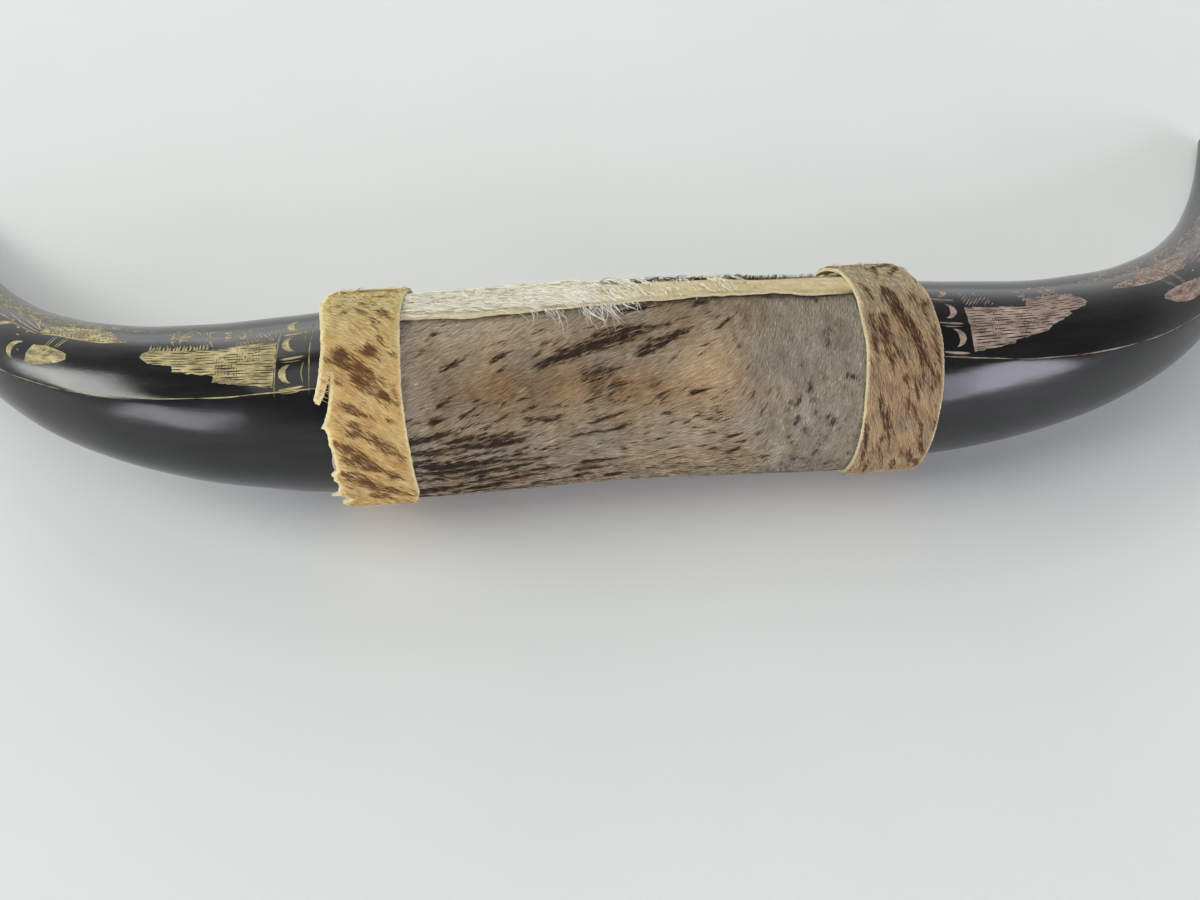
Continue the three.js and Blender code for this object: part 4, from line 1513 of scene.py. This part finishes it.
straps = {
    "left": {
        "side": -1,
        "flow": -36,
        "tone": 0.582,
        "topTone": 0.07,
        "bareEdge": 1.15,
        "streakFrom": -86,
        # (angle, distance from the middle) down the front of the strap
        "innerEdge": [(-11, 87), (15, 87.8), (55, 89.3), (100, 89.1), (122, 87.7), (140, 86.6), (156, 86.2)],
        # with the torn tongue, the spur and the ragged end at the bottom
        "outerEdge": [
            (156, 116.4), (135, 117.5), (122, 119.2), (113, 119.9), (105, 120.0), (99, 119.4),
            (90, 118.8), (78, 118.7), (73, 119.2), (67, 119.5), (63.7, 119.8), (58, 120.8),
            (53.2, 121.8), (51.2, 121.2), (50.4, 119.8), (55, 118.0), (61.5, 116.4), (66.8, 115.3),
            (60, 115.4), (52.2, 116.3), (46.7, 117.1), (41.7, 118.6), (38.4, 120.0), (37.6, 118.6),
            (34.4, 117.8), (29.3, 117.9), (26, 117.2), (20.5, 116.7), (13.2, 116.6), (10, 118.9),
            (7.4, 118.0), (5.6, 118.4), (3, 117.2), (0, 116.9), (-3, 117.6), (-7, 118.4), (-9.4, 121.0),
            (-9.9, 118.2), (-11, 116.6), (-13, 115.6), (-15, 114.2), (-17, 114.9), (-20, 117.6),
            (-24, 118.6),
        ],
        "streaks": [
            (410, 110, 90, 45, 50, .8), (325, 190, 100, 22, 75, .7), (400, 195, 150, 20, 50, .7),
            (470, 155, 120, 15, 25, .7), (550, 130, 60, 25, 35, .7), (620, 75, 50, 18, 75, .7),
            (605, 170, 90, 60, 45, .95), (580, 220, 90, 12, 65, .7), (650, 265, 190, 80, 60, .95),
            (690, 230, 180, 50, 60, .85), (780, 170, 220, 60, 55, .85), (740, 130, 60, 14, 20, .7),
            (810, 70, 90, 20, 20, .7), (875, 255, 140, 34, 65, .8), (930, 100, 50, 20, 50, .7),
            (940, 250, 90, 24, 80, .7), (980, 290, 80, 26, 60, .7), (1010, 195, 160, 40, 60, .85),
            (1070, 120, 130, 50, 50, .85), (1120, 75, 60, 16, 10, .7), (1050, 300, 130, 30, 65, .8),
            (1130, 240, 200, 90, 55, .9), (1230, 110, 70, 50, 60, .8), (1280, 230, 260, 70, 50, .85),
            (1365, 105, 160, 40, 50, .8), (1400, 190, 130, 70, 40, .8), (380, 295, 30, 35, 60, .6),
            (335, 330, 25, 40, 60, .6), (500, 250, 50, 14, 50, .6), (640, 370, 60, 20, 20, .6),
            (740, 320, 50, 30, 50, .6), (130, 170, 220, 34, 88, .8), (160, 320, 60, 30, 40, .6),
            (250, 130, 90, 16, 84, .7),
        ],
    },
    "right": {
        "side": 1,
        "flow": -76,
        "tone": 0.53,
        "topTone": 0.16,
        "bareEdge": 0.75,
        "streakFrom": 122,
        "innerEdge": [
            (-20, 87.6), (5, 87.8), (38, 88.3), (66, 89.7), (100, 88.9), (122, 87.8), (134, 85.4),
            (156, 84.2),
        ],
        "outerEdge": [
            (156, 112.0), (122, 113.2), (111, 114.9), (100, 116.6), (88, 118.5), (77, 119.5),
            (66, 119.9), (44, 119.3), (22, 118.3), (0, 117.8), (-20, 118),
        ],
        "streaks": [
            (500, 77, 30, 35, 80, .7), (740, 60, 150, 22, 8, .8), (615, 180, 420, 60, 22, .95),
            (600, 180, 250, 40, 22, .9), (790, 135, 160, 36, 0, .8), (870, 70, 60, 30, 10, .7),
            (920, 90, 80, 14, -20, .7), (920, 160, 90, 30, 5, .8), (1050, 165, 110, 16, 20, .7),
            (1180, 120, 160, 22, 10, .8), (1250, 100, 160, 26, 20, .8), (1310, 75, 100, 20, 25, .7),
            (1340, 140, 150, 26, 15, .8), (1300, 190, 60, 12, 10, .6), (760, 235, 120, 20, 30, .7),
            (640, 300, 180, 50, -5, .85), (780, 280, 100, 30, 5, .8), (680, 350, 260, 24, 0, .8),
            (1100, 290, 190, 30, 12, .9), (1020, 325, 160, 24, 12, .8), (1180, 300, 40, 30, 10, .6),
            (1380, 265, 160, 14, 12, .7), (1280, 300, 200, 10, 10, .6), (250, 165, 150, 26, -35, .95),
            (250, 255, 120, 20, -10, .8), (420, 345, 120, 20, 20, .8), (1250, 380, 300, 20, 5, .8),
            (1450, 330, 200, 20, 10, .8), (1000, 205, 120, 14, -3, .7), (165, 205, 150, 40, -60, .9),
            (880, 215, 60, 30, 20, .7), (560, 90, 90, 30, 15, .7), (480, 130, 60, 24, 30, .6),
            (1120, 60, 60, 30, 10, .7), (1420, 200, 110, 30, 10, .8), (1400, 90, 90, 30, 20, .8),
        ],
    },
}


def onStrap(flat, height):
    x, angle = flat[:, 0], flat[:, 1] / mmPerDegree
    raised = smooth(strap["overStrip"] - strap["ramp"], strap["overStrip"], angle)
    under = np.clip(angle - 270, -core["restFlat"] / 2, core["restFlat"] / 2)
    flatter = math.cos(math.radians(core["restFlat"] / 2)) / np.cos(np.radians(under))
    return roundCore(x, angle, (strap["inner"] + strap["raise"] * raised + height) * flatter)


def strapOutline(facts, seed):
    # the sheet runs on round the back, where both of its edges wander a little
    side = facts["side"]
    back = np.arange(strap["start"], 336, 4.0)
    skew = 1.5 * (back - strap["start"]) / 200
    innerBack = 88.6 - skew * side * 0.3 + 0.35 * ripple(back, 0 * back, seed + 1, 40)
    outerBack = 118.6 - 0.3 * skew + 0.4 * ripple(back, 0 * back, seed + 2, 40)
    inner = np.array([(a + 360, d) for a, d in facts["innerEdge"]])
    outer = np.array([(a + 360, d) for a, d in facts["outerEdge"]])
    edge = np.concatenate([
        np.stack([back, innerBack], 1), inner, outer, np.stack([back, outerBack], 1)[::-1],
    ])
    fine = spaced(np.stack([side * edge[:, 1], edge[:, 0] * mmPerDegree], 1), 0.7)
    wear = 0.12 * ripple(fine[:, 0] * 2, fine[:, 1], seed + 3, 2.2)
    fine[:, 0] += wear + 0.07 * ripple(fine[:, 0], fine[:, 1], seed + 4, 1.2)
    return fine


def makeStrapStreaks(facts, r):
    k, made = mmPerDegree, []
    for down, across, length, width, slant, depth in facts["streaks"]:
        x = facts["streakFrom"] - across / 12
        angle = 360 + 144 - down / 9
        made.append((x, angle * k, length / 11.5, width / 9.5, slant - 90, depth))
    for _ in range(strap["smallStreaks"]):
        kind = strap["behind" if r.random() < strap["behind"]["share"] else "inFront"]
        angle = r.uniform(*kind["angles"])
        long, wide = r.uniform(*kind["length"]), r.uniform(*kind["width"])
        x = facts["side"] * r.uniform(88, 118)
        slant = facts["flow"] + r.normal(0, 9)
        made.append((x, angle * k, long, wide, slant, r.uniform(0.4, 0.9)))
    return made


def makeStrap(name, facts, skinKind, hairKind, seed):
    k = mmPerDegree
    r = np.random.default_rng(seed)
    fine = strapOutline(facts, seed)
    streaks = makeStrapStreaks(facts, r)

    def paint(flat):
        x, s = flat[:, 0], flat[:, 1]
        angle = s / k - 360
        cream = smooth(66, 112, angle) * smooth(154, 122, angle)
        tone = facts["tone"] + facts["topTone"] * cream
        tone = tone + 0.05 * ripple(x, s, seed + 6, 12) + 0.045 * ripple(x, s, seed + 7, 4)
        warmth = 0.8 - 0.54 * cream + 0.3 * ripple(x, s, seed + 8, 13)
        return tone, np.clip(warmth, 0.03, 0.97)

    def skinPaint(flat, away):
        tone, warmth = paint(flat)
        dark = streakDarkness(flat, streaks, 0.4)
        bare = 1 - smooth(facts["bareEdge"] * 0.7, facts["bareEdge"] * 1.4, away)
        tone = (tone - 0.05) * (1 - dark * 0.8)
        tone = tone + (strap["edgeTone"] - tone) * bare
        warmth = warmth + (strap["edgeWarmth"] - warmth) * bare
        return np.clip(tone, 0, 1), np.clip(warmth, 0, 1)

    skin = makeSheet("strap" + name.capitalize(), fine, strap["gap"], onStrap, strap["thickness"],
                     skinPaint, skinKind, "cuff_" + name)
    roots = scatter(r, int(strap["hairs"] * strap["spare"]), fine.min(0), fine.max(0),
                    lambda p: insideOf(fine, p[:, 0], p[:, 1]) * 1.0)
    room = flatDistance(roots, fine)
    front = roots[:, 1] / k > 322
    bare = facts["bareEdge"] + 0.3 * ripple(roots[:, 0], roots[:, 1], seed + 5, 9)
    keep = (room > bare) & (front | (r.random(len(roots)) < strap["backShare"]))
    roots, room = roots[keep], room[keep]
    n = len(roots)
    flow = facts["flow"] + 8 * ripple(roots[:, 0], roots[:, 1], seed + 9, 22)
    flow = flow + r.normal(0, strap["flowSpread"], n)
    length = strap["hairLength"] * r.uniform(0.55, 1.2, n)
    ahead = roots + headed(flow) * length[:, None]
    over = ~insideOf(fine, ahead[:, 0], ahead[:, 1]) | (flatDistance(ahead, fine) < 0.7)
    length = np.where(over, np.clip(room * 0.95, 0.8, length), length)
    middle = roots + (ahead - roots) * 0.3
    tone, warmth = paint(middle)
    dark = streakDarkness(middle, streaks, 0.4)
    fringe = np.clip(dark * (1 - dark) * 4, 0, 1)
    lock = locks(middle, facts["flow"], seed + 12)
    dark = smooth(0.2, 0.9, dark + (0.55 * lock + r.normal(0, 0.24, n)) * (dark > 0.02))
    dark *= np.where(r.random(n) < 0.12, 0.5, 1)
    tone = tone + 0.035 * lock + r.normal(0, strap["unevenTone"], n)
    tone = tone * (1 - (0.86 - 0.1 * lock) * dark)
    warmth = warmth + 0.35 * fringe + r.normal(0, strap["unevenWarmth"], n)
    lift = strap["lift"] * np.where(r.random(n) < strap["stray"], strap["strayLift"], 1)
    width = strap["hairWidth"] * r.uniform(0.7, 1.25, n)

    def place(f, h):
        return onStrap(f, strap["thickness"] + h)

    hair = makeHair("strapHair" + name.capitalize(), roots, flow, length, width, lift, tone, warmth,
                    place, hairKind, seed + 10)
    return skin, [hair]


leftSkin, leftHair = makeStrap("left", straps["left"], goldenSkin, goldenHair, 300)
rightSkin, rightHair = makeStrap("right", straps["right"], tanSkin, tanHair, 340)

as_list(leftHair)
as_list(rightHair)

# The turned core keeps its own solid and gets wood.
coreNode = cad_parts["core"]
coreNode.material_slots[0].material = coreWood

# Floor, light and camera

studio = {
    "floor": (0.78, 0.796, 0.778),
    "floorRoughness": 0.6,
    "floorIor": 1.38,
    "overhead": (0.2, 0.203, 0.21),
    "horizon": (0.9, 0.92, 0.93),
    "surroundStrength": 0.9,
    "glow": 2.3,  # how much brighter the horizon is behind
    "windowDistance": 11.5,
    # each window's way is 0 on the viewer's side and grows towards +X
    "windows": {
        "rightWindow": {
            "way": 39, "height": 15.5, "size": (5.5, 5.7),
            "radiance": 7.2, "colour": (0.86, 0.85, 1.0),
        },
        "leftWindow": {
            "way": -91, "height": 31, "size": (7.7, 4.1),
            "radiance": 8.1, "colour": (0.98, 1.0, 0.95),
        },
        "lowPane": {
            "way": -47, "height": 9, "size": (4.5, 3.3),
            "radiance": 4.6, "colour": (0.95, 0.94, 1.0),
        },
        "backWindow": {
            "way": -168, "height": 34, "size": (5.8, 9.6),
            "radiance": 1.7, "colour": (1.0, 1.0, 0.96),
        },
        "ceilingPane": {
            "way": -80, "height": 82, "size": (7.7, 7.7),
            "radiance": 1.15, "colour": (0.99, 1.0, 0.97),
        },
    },
}
cameraView = {
    "place": (-0.05901, -0.36198, 0.41057),
    "pitch": 54.52,
    "roll": 2.47,
    "turn": -7.40,
    "lens": 33.95,
}


def makeFloor():
    b = NodeBench("paleTable")
    place = b.objectPlace()
    soft = b.noise(place, 6, 3)
    colour = b.ramp(soft, [(0.3, tuple(c * 0.97 for c in studio["floor"])), (0.7, studio["floor"])])
    b.shader.inputs["IOR"].default_value = studio["floorIor"]
    b.finish(colour, studio["floorRoughness"])
    mesh = bpy.data.meshes.new("tableTop")
    corners = [(x * 12, y * 12, -0.0001) for x, y in ((-1, -1), (1, -1), (1, 1), (-1, 1))]
    mesh.from_pydata(corners, [], [(0, 1, 2, 3)])
    mesh.materials.append(b.material)
    floor = bpy.data.objects.new("tableTop", mesh)
    bpy.context.scene.collection.objects.link(floor)


def makeWindow(name, facts):
    light = bpy.data.lights.new(name, "AREA")
    light.shape = "RECTANGLE"
    light.size, light.size_y = facts["size"]
    light.energy = facts["radiance"] * math.pi * facts["size"][0] * facts["size"][1]
    light.color = facts["colour"]
    lamp = bpy.data.objects.new(name, light)
    bpy.context.scene.collection.objects.link(lamp)
    way, height = math.radians(facts["way"]), math.radians(facts["height"])
    away = np.array([math.sin(way) * math.cos(height), -math.cos(way) * math.cos(height), math.sin(height)])
    side = np.cross((0, 0, 1), away)
    side /= np.linalg.norm(side)
    turn = np.stack([side, np.cross(away, side), away], 1)
    lamp.matrix_world = Matrix.Translation(away * studio["windowDistance"]) @ Matrix(turn.tolist()).to_4x4()


def makeSurround():
    # a dim ceiling that brightens towards the horizon, most of all behind the object
    world = bpy.data.worlds.new("studioSurround")
    world.use_nodes = True
    nodes, links = world.node_tree.nodes, world.node_tree.links
    place = nodes.new("ShaderNodeTexCoord")
    parts = nodes.new("ShaderNodeSeparateXYZ")
    ramp = nodes.new("ShaderNodeValToRGB")
    links.new(place.outputs["Generated"], parts.inputs["Vector"])
    links.new(parts.outputs["Z"], ramp.inputs["Fac"])
    behind = nodes.new("ShaderNodeValToRGB")
    links.new(parts.outputs["Y"], behind.inputs["Fac"])
    glow = nodes.new("ShaderNodeMix")
    glow.data_type, glow.blend_type = "RGBA", "MULTIPLY"
    glow.inputs[0].default_value = 1.0
    links.new(ramp.outputs["Color"], glow.inputs[6])
    links.new(behind.outputs["Color"], glow.inputs[7])
    links.new(glow.outputs[2], nodes["Background"].inputs["Color"])
    plain, bright = behind.color_ramp.elements
    plain.position, plain.color = 0.3, (1, 1, 1, 1)
    bright.position, bright.color = 0.95, (studio["glow"], studio["glow"], studio["glow"], 1)
    low, high = ramp.color_ramp.elements
    low.position, low.color = 0.06, (*studio["horizon"], 1)
    high.position, high.color = 0.55, (*studio["overhead"], 1)
    nodes["Background"].inputs["Strength"].default_value = studio["surroundStrength"]
    bpy.context.scene.world = world


def makeCamera():
    lens = bpy.data.cameras.new("view")
    lens.sensor_width = 36
    lens.lens = cameraView["lens"]
    lens.clip_start = 0.01
    camera = bpy.data.objects.new("view", lens)
    bpy.context.scene.collection.objects.link(camera)
    turn = Matrix.Rotation(math.radians(cameraView["turn"]), 4, "Z")
    tilt = Matrix.Rotation(math.radians(90 - cameraView["pitch"]), 4, "X")
    roll = Matrix.Rotation(math.radians(cameraView["roll"]), 4, "Z")
    camera.matrix_world = Matrix.Translation(cameraView["place"]) @ turn @ tilt @ roll
    bpy.context.scene.camera = camera


makeFloor()
for windowName, windowFacts in studio["windows"].items():
    makeWindow(windowName, windowFacts)
makeSurround()
makeCamera()
bpy.context.scene.view_settings.view_transform = "Standard"
